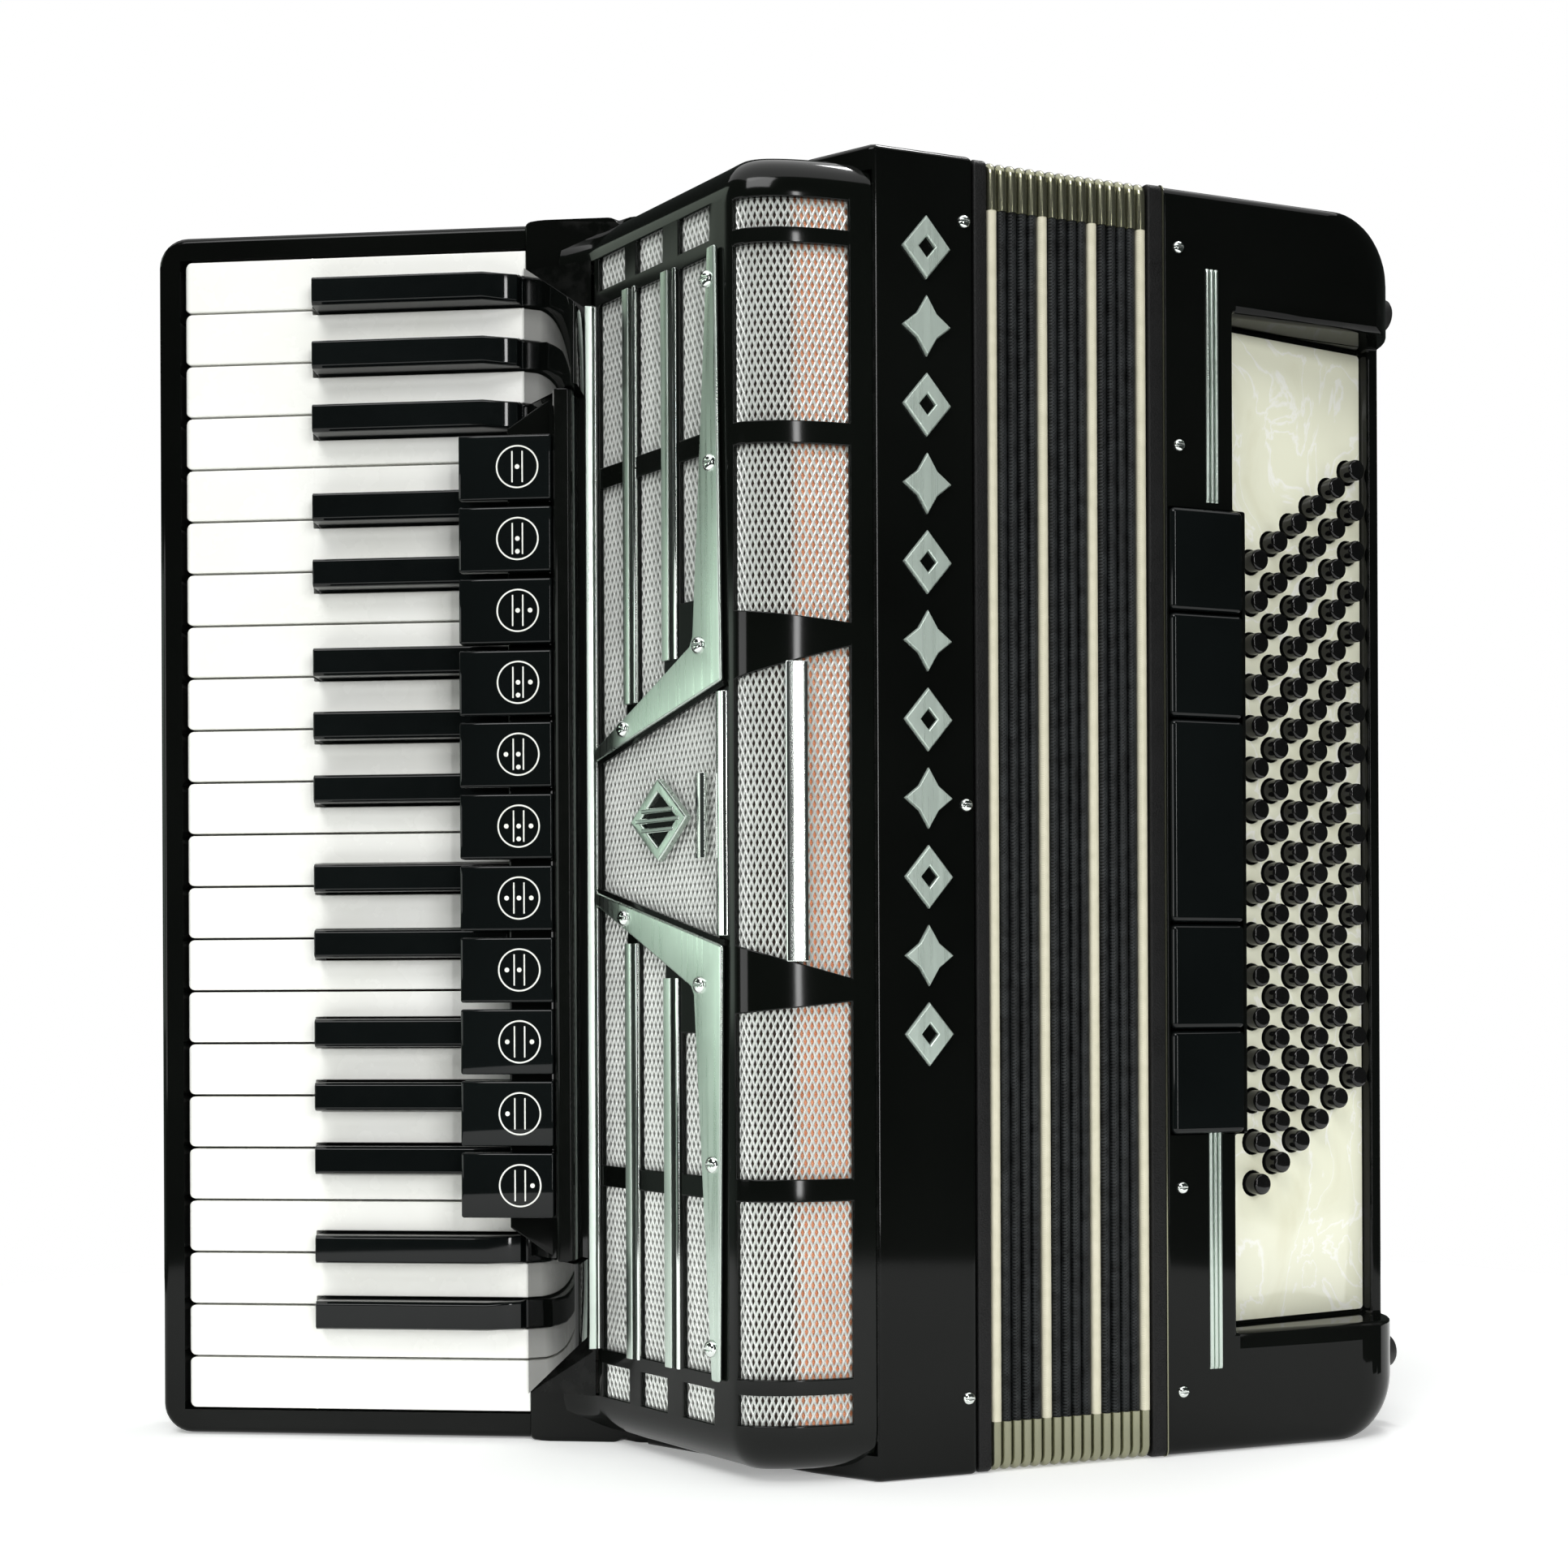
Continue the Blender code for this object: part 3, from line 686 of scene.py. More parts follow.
def register_sign(name, dots, out, height):
    """Thin inlay on the tab: a ring, two bars and round dots."""
    (inside, outside), (deep, proud) = SIGN_RADII, INLAY_DEPTHS
    profile = [(inside, deep), (inside, proud), (outside, proud), (outside, deep)]
    ring = loft(name, turned(profile, out, height, key_top, 56), loop=True)
    bars = [rectangle(middle - 0.25, middle + 0.25, height - 5.6, height + 5.6)
            for middle in (out - BAR_APART, out + BAR_APART)]
    spots = [circle(out + DOT_PLACES[d][0], height + DOT_PLACES[d][1], 0.85, 16) for d in dots]
    return join(ring, prisms(name + "_marks", bars + spots, *INLAY_DEPTHS, key_top))


def treble_registers(names):
    """Tabs with a lever that reaches into the housing."""
    for name, dots in zip(names, SIGN_DOTS):
        low, high = heights_of(name)
        height = (low + high) / 2
        tab = prism(name + "_tab", rectangle(-14.0, 20.0, 16.5, TAB_TOP), low, high, keyed)
        soften(tab, 0.9, 3)
        lever = prism("lever", rectangle(-20.4, -13.6, 15.5, 19.5), height - 5.5, height + 5.5, keyed)
        carve(tab, lever, "UNION")
        dress(tab, KEY_BLACK, name, name)
        dress(register_sign(name + "_sign", dots, -1.6, height), INLAY, name)


# Grille cover

SIDE_START, SIDE_END = Vector((-75.0, 87.0)), Vector((-47.0, 15.0))
BEND, COVER_END = (-42.3, 0.8), (-0.3, 0.0)
FLARE_BEND, FLARE_END = (-77.3, 93.0), (-85.3, 98.7)
SIDE_LENGTH = (SIDE_END - SIDE_START).length
COVER_THICK = 2.2
DOME_START = 206.6
DOME_RISE = 14.9
DOME_DEPTH = 15.0
DOME_EASE = 14.0


def cover_table():
    """Distance along the cover's outer line, with its point and inward normal at each. It is negative
    along the flares, which the cover has only at its two ends."""
    flare = curved(FLARE_END, FLARE_BEND, SIDE_START, 9)[:-1]
    side = [tuple(SIDE_START.lerp(SIDE_END, step / 8)) for step in range(8)]
    spots = np.array(flare + side + curved(SIDE_END, BEND, COVER_END, 41))
    steps = np.hypot(*np.diff(spots, axis=0).T)
    run = np.concatenate([[0.0], np.cumsum(steps)]) - steps[:len(flare)].sum()
    along = np.gradient(spots, run, axis=0)
    along /= np.hypot(*along.T)[:, None]
    return run, spots, np.stack([-along[:, 1], along[:, 0]], axis=1)


RUN, LINE, INWARD = cover_table()


def cover_spot(distance, proud=0.0):
    """A point on the cover's outer line, lifted off it by proud, as seen from above."""
    x, y, nx, ny = (np.interp(distance, RUN, column) for column in (*LINE.T, *INWARD.T))
    return x - nx * proud, y - ny * proud


def dome_spot(distance, inset):
    """A point on the cover's rounded end. Its inward direction is averaged over a stretch of the line,
    so that deep insets don't cross in the bend."""
    near = np.linspace(distance - DOME_EASE, distance + DOME_EASE, 15)
    nx, ny = (np.interp(near, RUN, column).mean() for column in INWARD.T)
    x, y = cover_spot(distance)
    length = math.hypot(nx, ny)
    return x + nx / length * inset, y + ny / length * inset


def distance_at(x):
    """Distance along the cover's line of a place in its front bend."""
    return float(np.interp(x, LINE[:, 0], RUN))


def sided(share, half, proud=0.0):
    """A point on the cover's flat side: share of its width, height from the middle, and lift."""
    return above(*cover_spot(share * SIDE_LENGTH, proud), MIDDLE + half)


SIDE_WINDOWS = [(0.04, 0.25), (0.34, 0.54), (0.66, 0.88)]
CENTRE_WINDOW = (0.04, 0.93)
FRONT_WINDOW = (distance_at(-45.6), distance_at(-8.7))
CROSS_BARS = (122.4, 130.0, 189.0, 194.3)   # half heights of the edges of the two black bars
ARM_INNER = ((0.04, 23.7), (0.985, 44.4))   # the steel plates' sloping arm, as shares and half heights
ARM_OUTER = ((0.035, 28.0), (0.77, 59.3))


def sloped(line, share):
    """Half height of a sloping line at a share of the side's width."""
    (start, low), (end, high) = line
    return low + (high - low) * (share - start) / (end - start)


def window_rows(distance):
    """Half heights where the windows begin and end at a distance along the cover."""
    share = distance / SIDE_LENGTH
    if share < 0.62:
        centre, first = sloped(ARM_INNER, share) + 1.2, sloped(ARM_OUTER, share) - 1.4
    elif share < 0.97:
        centre, first = sloped(ARM_INNER, min(share, 0.93)) + 1.2, 74.0
    else:
        across = (distance - FRONT_WINDOW[0]) / (FRONT_WINDOW[1] - FRONT_WINDOW[0])
        centre, first = 44.4 + 11.0 * across, 67.4 - 4.0 * across
    return [centre, first, *CROSS_BARS, 206.0 if share < 0.97 else 204.3]


def is_open(distance, band):
    """Whether a cell of the cover grid is a window; bands count outwards from the middle."""
    share = distance / SIDE_LENGTH
    if FRONT_WINDOW[0] < distance < FRONT_WINDOW[1]:
        return band in (0, 2, 4, 6)
    if band == 0:
        return CENTRE_WINDOW[0] < share < CENTRE_WINDOW[1]
    return band in (2, 4, 6) and any(start < share < end for start, end in SIDE_WINDOWS)


def cover_columns():
    """Distances along the cover's line of the columns of its grid."""
    edges = [RUN[0] * step / 6 for step in range(7)]
    edges += [*FRONT_WINDOW, RUN[-1], CENTRE_WINDOW[1] * SIDE_LENGTH]
    edges += [share * SIDE_LENGTH for window in SIDE_WINDOWS for share in window]
    bend = np.arange(SIDE_LENGTH - 3, RUN[-1] - 0.5, 1.6)
    edges += [float(step) for step in bend if min(abs(step - edge) for edge in edges) > 0.7]
    return sorted(edges)


def grid_faces(columns, rows, kept=lambda column, row: True):
    """Quads between neighbouring points that run up column after column."""
    faces = []
    for column in range(columns - 1):
        for row in range(rows - 1):
            if kept(column, row):
                corner = column * rows + row
                faces.append((corner, corner + 1, corner + rows + 1, corner + rows))
    return faces


def grille_cover():
    """Shell with windows, deeply rounded at both ends and thickened inwards."""
    columns = cover_columns()
    turns = [math.radians(9 * step) for step in range(11)]
    dome = [(DOME_START + DOME_RISE * math.sin(t), DOME_DEPTH * (1 - math.cos(t))) for t in turns]
    points = []
    for distance in columns:
        halves = [(half, 0.0) for half in window_rows(distance)] + dome
        for half, inset in [(-half, inset) for half, inset in reversed(halves)] + halves:
            points.append(above(*dome_spot(distance, inset), MIDDLE + half))
    count = len(points) // len(columns)

    def kept(column, row):
        middle = (columns[column] + columns[column + 1]) / 2
        band = abs(row - count // 2 + 1)
        return band >= 7 or not (middle < 0 or is_open(middle, band))

    faces = grid_faces(len(columns), count, kept)
    back = [(-6.0, 26.0), (-50.0, 95.0), (-66.0, 112.0)]
    for row, sign in ((0, -1), (count - 1, 1)):
        rim = [column * count + row for column in range(len(columns))]
        start = len(points)
        points += [above(x, y, MIDDLE + sign * (DOME_START + DOME_RISE)) for x, y in back]
        faces.append(tuple(rim + list(range(start, start + len(back)))))
    cover = build("grille_shell", points, faces)
    shell = cover.modifiers.new("shell", "SOLIDIFY")
    shell.thickness, shell.offset, shell.use_even_offset = COVER_THICK * MM, -1.0, True
    bake(cover)
    dress(cover, COVER_BLACK, replaces="grille_cover", bevel=0.45, angle=50)


MESH_STEP = (2.4, 5.1)          # width and height of one diamond of the expanded metal
MESH_HALF = 208.0
MESH_BEHIND = 2.3
MESH_THICK = 1.1


def expanded_metal():
    """Sheet of staggered diamond openings behind every window."""
    wide, tall = MESH_STEP
    start, end = 1.5, distance_at(-6.0)
    columns, rows = int((end - start) / (wide / 2)), int(2 * MESH_HALF / tall)
    lattice = [(-0.5, 0.0), (0.0, 0.5), (0.5, 0.0), (0.0, -0.5)]
    opening = [(-0.28, 0.0), (-0.15, 0.16), (0.0, 0.31), (0.15, 0.16), (0.28, 0.0), (0.15, -0.16),
               (0.0, -0.31), (-0.15, -0.16)]
    points, faces = [], []

    def vertex(across, up, lift):
        spot = cover_spot(min(max(start + across * wide, start), end), lift - MESH_BEHIND)
        points.append(above(*spot, MIDDLE + min(max(up * tall, -MESH_HALF), MESH_HALF)))
        return len(points) - 1

    for column in range(columns):
        for row in range(-rows // 2, rows // 2 + 1):
            across, up = column / 2, row + (column % 2) / 2
            if not shown(start + across * wide, abs(up * tall), wide):
                continue
            outer = [vertex(across + a, up + u, 0.0) for a, u in lattice]
            for side, (a, u) in enumerate(lattice):
                b, v = lattice[(side + 1) % 4]
                outer.insert(2 * side + 1, vertex(across + (a + b) / 2, up + (u + v) / 2, 0.12))
            rim = [vertex(across + a, up + u, -0.22 - 0.3 * u) for a, u in opening]
            wall = [vertex(across + a, up + u, -MESH_THICK) for a, u in opening]
            for side in range(8):
                beside = (side + 1) % 8
                faces.append((outer[side], outer[beside], rim[beside], rim[side]))
                faces.append((rim[side], rim[beside], wall[beside], wall[side]))
    dress(build("expanded_mesh", points, faces, merge=2e-6), MESH_SILVER)


def shown(distance, half, margin):
    """Whether a place on the mesh can be seen through a window, give or take a margin."""
    share, edge, tall = distance / SIDE_LENGTH, margin / SIDE_LENGTH, margin * 1.5
    rows = window_rows(distance)
    inside = FRONT_WINDOW[0] - margin < distance < FRONT_WINDOW[1] + margin
    if half < rows[0] + tall:
        return inside or CENTRE_WINDOW[0] - edge < share < CENTRE_WINDOW[1] + edge
    if not any(low - tall < half < high + tall for low, high in zip(rows[1::2], rows[2::2])):
        return False
    return inside or any(low - edge < share < high + edge for low, high in SIDE_WINDOWS)


def grille_cloth():
    """Copper cloth stretched behind the mesh."""
    behind, half = -3.5, 209
    distances = [1.0 + step for step in np.arange(0, distance_at(-5.0), 2.0)]
    heights = np.linspace(-half, half, 40)
    points = [above(*cover_spot(d, behind), MIDDLE + height) for d in distances for height in heights]
    cloth = build("grille_cloth", points, grid_faces(len(distances), len(heights)))
    dress(cloth, GRILLE_CLOTH)


def strip(name, finish, start, end, halves, profile):
    """A strip laid over the cover between two distances along it. Its profile has shares of that width
    and lifts."""
    rings = [[above(*cover_spot(start + (end - start) * a, lift), MIDDLE + half) for a, lift in profile]
             for half in halves]
    dress(loft(name, rings), finish, bevel=0.15)


def cover_trim():
    """Long bright strips down the cover, each a flat band with a bead beside it, and the wide ones."""
    band = [(0.0, -0.2), (0.0, 1.2), (0.06, 1.5), (0.44, 1.5), (0.5, 1.2), (0.5, -0.2)]
    bead = [(0.72, -0.2), (0.72, 0.6), (0.8, 1.05), (0.9, 1.05), (0.97, 0.6), (0.97, -0.2)]
    long = 189.0
    for word, sign in HALVES:
        for letter, start, end, near in (("a", 0.25, 0.345, 42.5), ("b", 0.545, 0.65, 55.0)):
            for kind, profile, finish in (("band", band, SATIN), ("bead", bead, CHROME)):
                strip(f"trim_{word}_{letter}_{kind}", finish, start * SIDE_LENGTH, end * SIDE_LENGTH,
                      (sign * near, sign * (long + 1)), profile)
    domed = [(0.0, 0.0), (0.05, 0.9), (0.25, 1.7), (0.55, 2.0), (0.8, 1.6), (0.95, 0.8), (1.0, 0.0)]
    strip("trim_centre", CHROME, 0.925 * SIDE_LENGTH, SIDE_LENGTH, (-41.0, 41.0), domed)
    foot = Vector(key_spot(-27.4, 10.9))
    along = (Vector(key_spot(-15.0, 14.3)) - foot).normalized()
    outward = Vector((-along.y, along.x)) * math.copysign(1.0, -along.x)
    shape = ((3.2, -0.6), (3.2, 0.9), (2.8, 1.2), (0.5, 1.2), (0.1, 0.8), (0.1, -0.6))
    edge = [tuple(foot + along * a + outward * lift) for a, lift in shape]
    dress(prism("trim_rail_band", edge, MIDDLE - long, MIDDLE + long), SATIN, bevel=0.15)
    round_top = [(0.0, -0.2), (0.0, 0.5), (0.3, 0.9), (0.7, 0.9), (1.0, 0.5), (1.0, -0.2)]
    strip("trim_rail_bead", CHROME, 0.7, 1.8, (-long, long), round_top)
    spots = np.linspace(distance_at(-30.6), distance_at(-23.4), 7)
    outline = [cover_spot(spot, -0.6) for spot in spots] + [cover_spot(spot, 1.0) for spot in spots[::-1]]
    dress(prism("trim_front", outline, MIDDLE - 50, MIDDLE + 50), CHROME, bevel=0.4)


def steel_plates():
    """The two angular satin plates with a bevelled edge, and their domed screws."""
    corners = [(0.90, 191.0), (0.955, 191.0), ARM_INNER[1], ARM_INNER[0], ARM_OUTER[0], (0.765, 58.0),
               (0.785, 61.0)]
    shadow = [ARM_INNER[1], (0.99, 42.6), (0.04, 21.9), (0.04, 23.9)]
    for word, sign in HALVES:
        rings = [[sided(t, sign * half, lift) for t, half in corners] for lift in (0.5, 2.6)]
        dress(loft(f"steel_plate_{word}", rings), SATIN, bevel=0.7, segments=1)
        gap = [[sided(t, sign * half, lift) for t, half in shadow] for lift in (-0.1, 1.3)]
        dress(loft(f"plate_shadow_{word}", gap), BLACK, bevel=0.2)
        for number, (t, half) in enumerate(((0.905, 180.0), (0.92, 118.0), (0.835, 57.5), (0.27, 33.5)), 1):
            centre, outer = (Vector(cover_spot(t * SIDE_LENGTH, lift)) for lift in (2.6, 3.6))
            place = above(*centre, MIDDLE + sign * half)
            screw(f"plate_screw_{word}_{number}", place, (outer - centre).to_3d(), 3.0, "treble")


def screw(name, centre, outward, radius, body):
    """Domed, slotted screw head."""
    outward = outward.normalized()
    across = outward.cross(Vector((0, 0, 1))).normalized()
    up = across.cross(outward)
    profile = [(1.0, -0.3), (1.0, 0.12), (0.9, 0.34), (0.7, 0.52), (0.4, 0.64), (0.12, 0.68)]

    def spot(a, b, lift):
        return centre + (across * a + up * b + outward * lift) * radius * MM

    head = loft(name, turned(profile, 0, 0, spot, 20))
    cut(head, [rectangle(-1.2, 1.2, -0.13, 0.13)], 0.45, 0.9, spot)
    dress(head, CHROME, body, bevel=0.1, segments=1)


def medallion():
    """Plain lozenge badge with three bars on the mesh between the plates."""
    centre, half_wide, half_tall = 0.53, 0.21, 14.5

    def lozenge(scale, lift):
        return [sided(centre + half_wide * scale * a, half_tall * scale * b, lift)
                for a, b in four_points(1, 1, (0.3, 0.72))]

    profile = ((1.0, 0.0), (1.0, 2.2), (0.94, 2.7), (0.70, 2.7), (0.66, 2.2), (0.66, 0.0))
    dress(loft("medallion_ring", [lozenge(*step) for step in profile], loop=True), SATIN, bevel=0.2)
    dress(loft("medallion_ground", [lozenge(0.68, 0.2), lozenge(0.68, 1.2)]), BLACK, bevel=0.1)
    section = ((0.95, 1.0), (0.95, 2.4), (0.5, 2.9), (-0.5, 2.9), (-0.95, 2.4), (-0.95, 1.0))
    for number, up in enumerate((-3.4, 0.0, 3.4), 1):
        reach = half_wide * (0.78 - abs(up) / half_tall * 0.9)
        rings = [[sided(centre + end, up + half, lift) for half, lift in section] for end in (-reach, reach)]
        dress(loft(f"medallion_bar_{number}", rings), CHROME, bevel=0.12)
    section = ((0.0, 0.0), (0.0, 1.8), (0.012, 2.4), (0.045, 2.6), (0.06, 1.4), (0.06, 0.0))
    base = [[sided(0.795 + a, half, lift) for a, lift in section] for half in (-half_tall, half_tall)]
    dress(loft("medallion_base", base), CHROME, bevel=0.15)


# Front of the treble body, and the pins of both bellows frames

def front_ornaments():
    """Column of plain lozenges and stars down the flat front, satin with a bevelled edge."""
    lozenge, star = four_points(8.8, 10.8, (4.4, 5.4)), four_points(8.8, 10.4, (3.6, 4.2))
    solid = [(1.0, -0.2), (1.0, 0.8), (0.93, 1.6)]
    pierced = solid + [(0.39, 1.6), (0.34, 1.2), (0.34, -0.2)]
    first, pitch = 416.5, 26.6
    for number in range(11):
        height = first - pitch * number
        outline, profile = (star, solid) if number % 2 else (lozenge, pierced)
        rings = [[front(19.0 + a * scale, height + b * scale, -proud) for a, b in outline]
                 for scale, proud in profile]
        piece = loft(f"front_ornament_{number + 1:02d}", rings, loop=profile is pierced)
        dress(piece, BADGE, bevel=0.1, segments=1)


def bellows_pins():
    """Round-headed pins that hold the bellows frames, on the front and on the back."""
    back_heights = (427.0, 225.0, 23.0)
    for name, body, x, y, radius, heights in (
        ("treble_pin", "treble", 33.2, 0.0, 2.3, (427.0, 228.4, 26.4)),
        ("bass_pin", "bass", 116.0, 0.0, 2.2, (427.9, 357.9, 95.2, 23.0)),
        ("treble_back_pin", "treble", 33.2, DEPTH, 2.3, back_heights),
        ("bass_back_pin", "bass", 116.0, DEPTH, 2.2, back_heights),
    ):
        for number, height in enumerate(heights, 1):
            screw(f"{name}_{number}", above(x, y, height), Vector((0, 1 if y else -1, 0)), radius, body)


def seam_bead():
    """Knurled wire in the seam between the cover and the body."""
    ribs, margin = 620, 14.0
    heights = np.linspace(margin, HEIGHT - margin, ribs)
    profile = [(0.56 if number % 2 else 0.42, height) for number, height in enumerate(heights)]
    dress(loft("seam_bead", turned(profile, 0.1, 0.35, above, 6)), BLACK)


# Bellows

# Section of a ridge: place along the bellows and depth below the ridge's top
TIP = [(FOLD_PITCH / 2 - 1.76 * math.cos(turn), 2.3 * (1 - math.sin(turn) ** 0.8))
       for turn in np.linspace(0, math.pi, 11)]


def ring_path(depth, radius):
    """Rounded rectangle round the bellows at a depth below its ridges."""
    edge = RIDGE_INSET + depth
    return rounded(edge, DEPTH - edge, edge, HEIGHT - edge, radius)


def stretch(piece, finish, shares, replaces=None):
    """Dresses a piece of the bellows and bakes its place into its mesh. shares, which gives 0 for the treble
    body and 1 for the bass, is not used.
    """
    dress(piece, finish, None, replaces)
    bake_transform(piece)


def bellows_folds():
    """Pleated tube of rounded ridges with valleys between them."""
    rings, shares, inner = [], [], []
    for fold in range(FOLDS):
        base = BELLOWS[0] + FOLD_PITCH * fold
        section = [(0.02, FOLD_DEPTH, fold / FOLDS)] + [(a, depth, (fold + 0.5) / FOLDS) for a, depth in TIP]
        section += [(FOLD_PITCH - 0.02, FOLD_DEPTH, (fold + 1) / FOLDS)]
        for a, depth, share in section:
            outline = ring_path(depth, max(5.0 - depth * 0.3, 2.0))
            rings.append([above(base + a, y, z) for y, z in outline])
            shares += [share] * len(outline)
            if depth > 2:
                inner.append((base + a, depth + 1.8, share))
    for x, depth, share in reversed(inner):
        outline = ring_path(depth, 2.0)
        rings.append([above(x, y, z) for y, z in outline])
        shares += [share] * len(outline)
    stretch(loft("bellows_folds", rings, loop=True), FOLD_CLOTH, shares, "bellows")


def bellows_edging():
    """Nickel corners on every ridge, and cream tape on four of them."""
    for name, finish, shape, folds in (
        ("bellows_corners", NICKEL, corner_cap, range(FOLDS)),
        ("bellows_tapes", TAPE, tape_run, range(0, FOLDS, 5)),
    ):
        stacks, shares = [], []
        for fold in folds:
            for side in range(4):
                stacks.append(shape(fold, side))
                shares += [(fold + 0.5) / FOLDS] * sum(len(ring) for ring in stacks[-1])
        stretch(loft(name, *stacks), finish, shares)


def face_frame(side):
    """Start corner, direction along the face, outward direction and length, for one side."""
    low, far, high = RIDGE_INSET, DEPTH - RIDGE_INSET, HEIGHT - RIDGE_INSET
    return [
        (Vector((low, low)), Vector((1, 0)), Vector((0, -1)), far - low),
        (Vector((far, low)), Vector((0, 1)), Vector((1, 0)), high - low),
        (Vector((far, high)), Vector((-1, 0)), Vector((0, 1)), far - low),
        (Vector((low, high)), Vector((0, -1)), Vector((-1, 0)), high - low),
    ][side]


def band_ring(fold, spot, outward, lift, thick):
    """One section of a band over a ridge: spot is on the ridge line, outward points off the bellows."""
    half = FOLD_PITCH / 2
    base = BELLOWS[0] + FOLD_PITCH * fold
    ring = []
    for a, depth in TIP:
        place = spot + outward * (lift - depth)
        ring.append(above(base + a + (a - half) / half * min(lift, 0.12), place.x, place.y))
    for a, depth in reversed(TIP):
        place = spot + outward * (lift - thick - depth)
        ring.append(above(base + half + (a - half) * 0.75, place.x, place.y))
    return ring


def corner_cap(fold, corner):
    """Nickel cap round one corner of a ridge."""
    radius, lift, thick = 4.6, 0.3, 0.7
    start, along, outward, _ = face_frame(corner)
    _, before, outward_before, _ = face_frame((corner + 3) % 4)
    centre = start + along * radius - outward * radius
    rings = [band_ring(fold, start - before * CORNER_REACH, outward_before, lift, thick)]
    for step in range(7):
        turn = math.radians(90 * step / 6)
        direction = outward_before * math.cos(turn) + outward * math.sin(turn)
        rings.append(band_ring(fold, centre + direction * radius, direction, lift, thick))
    rings.append(band_ring(fold, start + along * CORNER_REACH, outward, lift, thick))
    return rings


def tape_run(fold, side):
    """Tape along one side of a ridge, between its nickel corners."""
    start, along, outward, length = face_frame(side)
    reach, steps = CORNER_REACH - 0.5, 12
    spots = [start + along * (reach + (length - 2 * reach) * step / steps) for step in range(steps + 1)]
    return [band_ring(fold, spot, outward, 0.16, 0.5) for spot in spots]


def bellows_frames():
    """Matte leatherette strips round the mouths of both bodies, with a thin bright line on the bass one."""
    for name, left, right, inset, finish, body, bevel in (
        ("treble_strip", STRIP_LEFT, BODY_RIGHT, 0.2, STRIP, "treble", 0.8),
        ("bass_strip", BASS_LEFT, BASS_STRIP, 0.2, STRIP, "bass", 0.8),
        ("bass_strip_line", BASS_STRIP - 0.3, BASS_STRIP + 0.1, -0.05, NICKEL, "bass", 0.0),
    ):
        outer = rounded(inset, DEPTH - inset, inset, HEIGHT - inset, 3.0)
        inner = rounded(WALL, DEPTH - WALL, WALL, HEIGHT - WALL, 1.0)
        section = ((left, outer), (right, outer), (right, inner), (left, inner))
        rings = [[above(x, y, z) for y, z in line] for x, line in section]
        dress(loft(name, rings, loop=True), finish, body, bevel=bevel)


# Bass body

def fillet(radius, depth):
    """How far a rounded edge stands back at a depth from its face."""
    return radius - math.sqrt(radius ** 2 - (radius - min(depth, radius)) ** 2)


def bass_blank():
    """The bass case before it is hollowed: every edge of its end face is rounded."""
    fine = [0.0, 0.5, 1.2, 2.2, 3.4, 4.8, 6.0, 8.0, 10.5, 13.5, 17.0, 20.5, BASS_CORNER]
    rings = []
    for y in fine + [DEPTH - y for y in reversed(fine)]:
        side, end = (fillet(radius, min(y, DEPTH - y)) for radius in (BASS_CORNER, BASS_BRIM))
        turn = BASS_CORNER - 0.35 * side
        right, low, high = BASS_RIGHT - side, end, HEIGHT - end
        outline = [(BASS_STRIP, low), *arc(right - turn, low + turn, turn, -90, 0, 12)]
        outline += [*arc(right - turn, high - turn, turn, 0, 90, 12), (BASS_STRIP, high)]
        rings.append([front(x, z, y) for x, z in outline])
    return loft("bass_case", rings)


def bass_case():
    """Rounded case with the recess for the button plate."""
    case = bass_blank()
    (left, plate_front), (right, plate_back) = PLATE
    inside = BASS_RIGHT - WALL
    chamber = [
        (BASS_STRIP - 1, WALL), (left - 4, WALL), (left - 4, plate_front + 4), (inside, plate_back + 4),
        (inside, DEPTH - WALL), (BASS_STRIP - 1, DEPTH - WALL),
    ]
    cut(case, [chamber], WALL, HEIGHT - WALL)
    recess = [(left, -5.0), PLATE[0], PLATE[1], (right, 21.0), (BASS_RIGHT + 5, 21.0), (BASS_RIGHT + 5, -5.0)]
    cut(case, [recess], MIDDLE - PLATE_HALF, MIDDLE + PLATE_HALF)
    shelves = [(MIDDLE - PLATE_HALF, MIDDLE - REGISTER_REACH), (MIDDLE + REGISTER_REACH, MIDDLE + PLATE_HALF)]
    cut(case, [rectangle(SHELF_LEFT, left + 1, *shelf) for shelf in shelves], -5, plate_front, front)
    soften(case, 1.1, 3, 50)
    for _, sign in HALVES:
        brim = [(LOBE_ROUND, PLATE_HALF)]
        for turn in np.linspace(0.2, math.pi / 2, 8):
            brim.append((LOBE_ROUND * (1 - math.sin(turn)), PLATE_HALF + LOBE_ROUND * (1 - math.cos(turn))))
        brim += [(-2.0, PLATE_HALF + LOBE_ROUND), (-2.0, PLATE_HALF - 1), (LOBE_ROUND, PLATE_HALF - 1)]
        cut(case, [mirrored(brim, sign)], SHELF_LEFT + 1.2, BASS_RIGHT + 2, sideways)
    low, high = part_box("bass_register_5")[0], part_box("bass_register_1")[1]
    start, end = ((edge - ORIGIN.x) / MM for edge in (low.x, high.x))
    slot = rectangle(start - 0.3, end + 0.3, low.z / MM - 0.3, high.z / MM + 0.3)
    cut(case, [slot], -5, plate_front + 3.5, front)
    cut(case, button_holes(4.3), -9, 5, plated)
    dress(case, BLACK, "bass", "bass_body", even=True)


def button_spots():
    return [
        (BUTTON_FIRST[0] + BUTTON_STEP[0] * column,
         BUTTON_FIRST[1] + BUTTON_STEP[1] * column + BUTTON_PITCH * row)
        for column in range(6) for row in range(16)
    ]


def button_holes(radius):
    return [circle(along, height, radius, 20) for along, height in button_spots()]


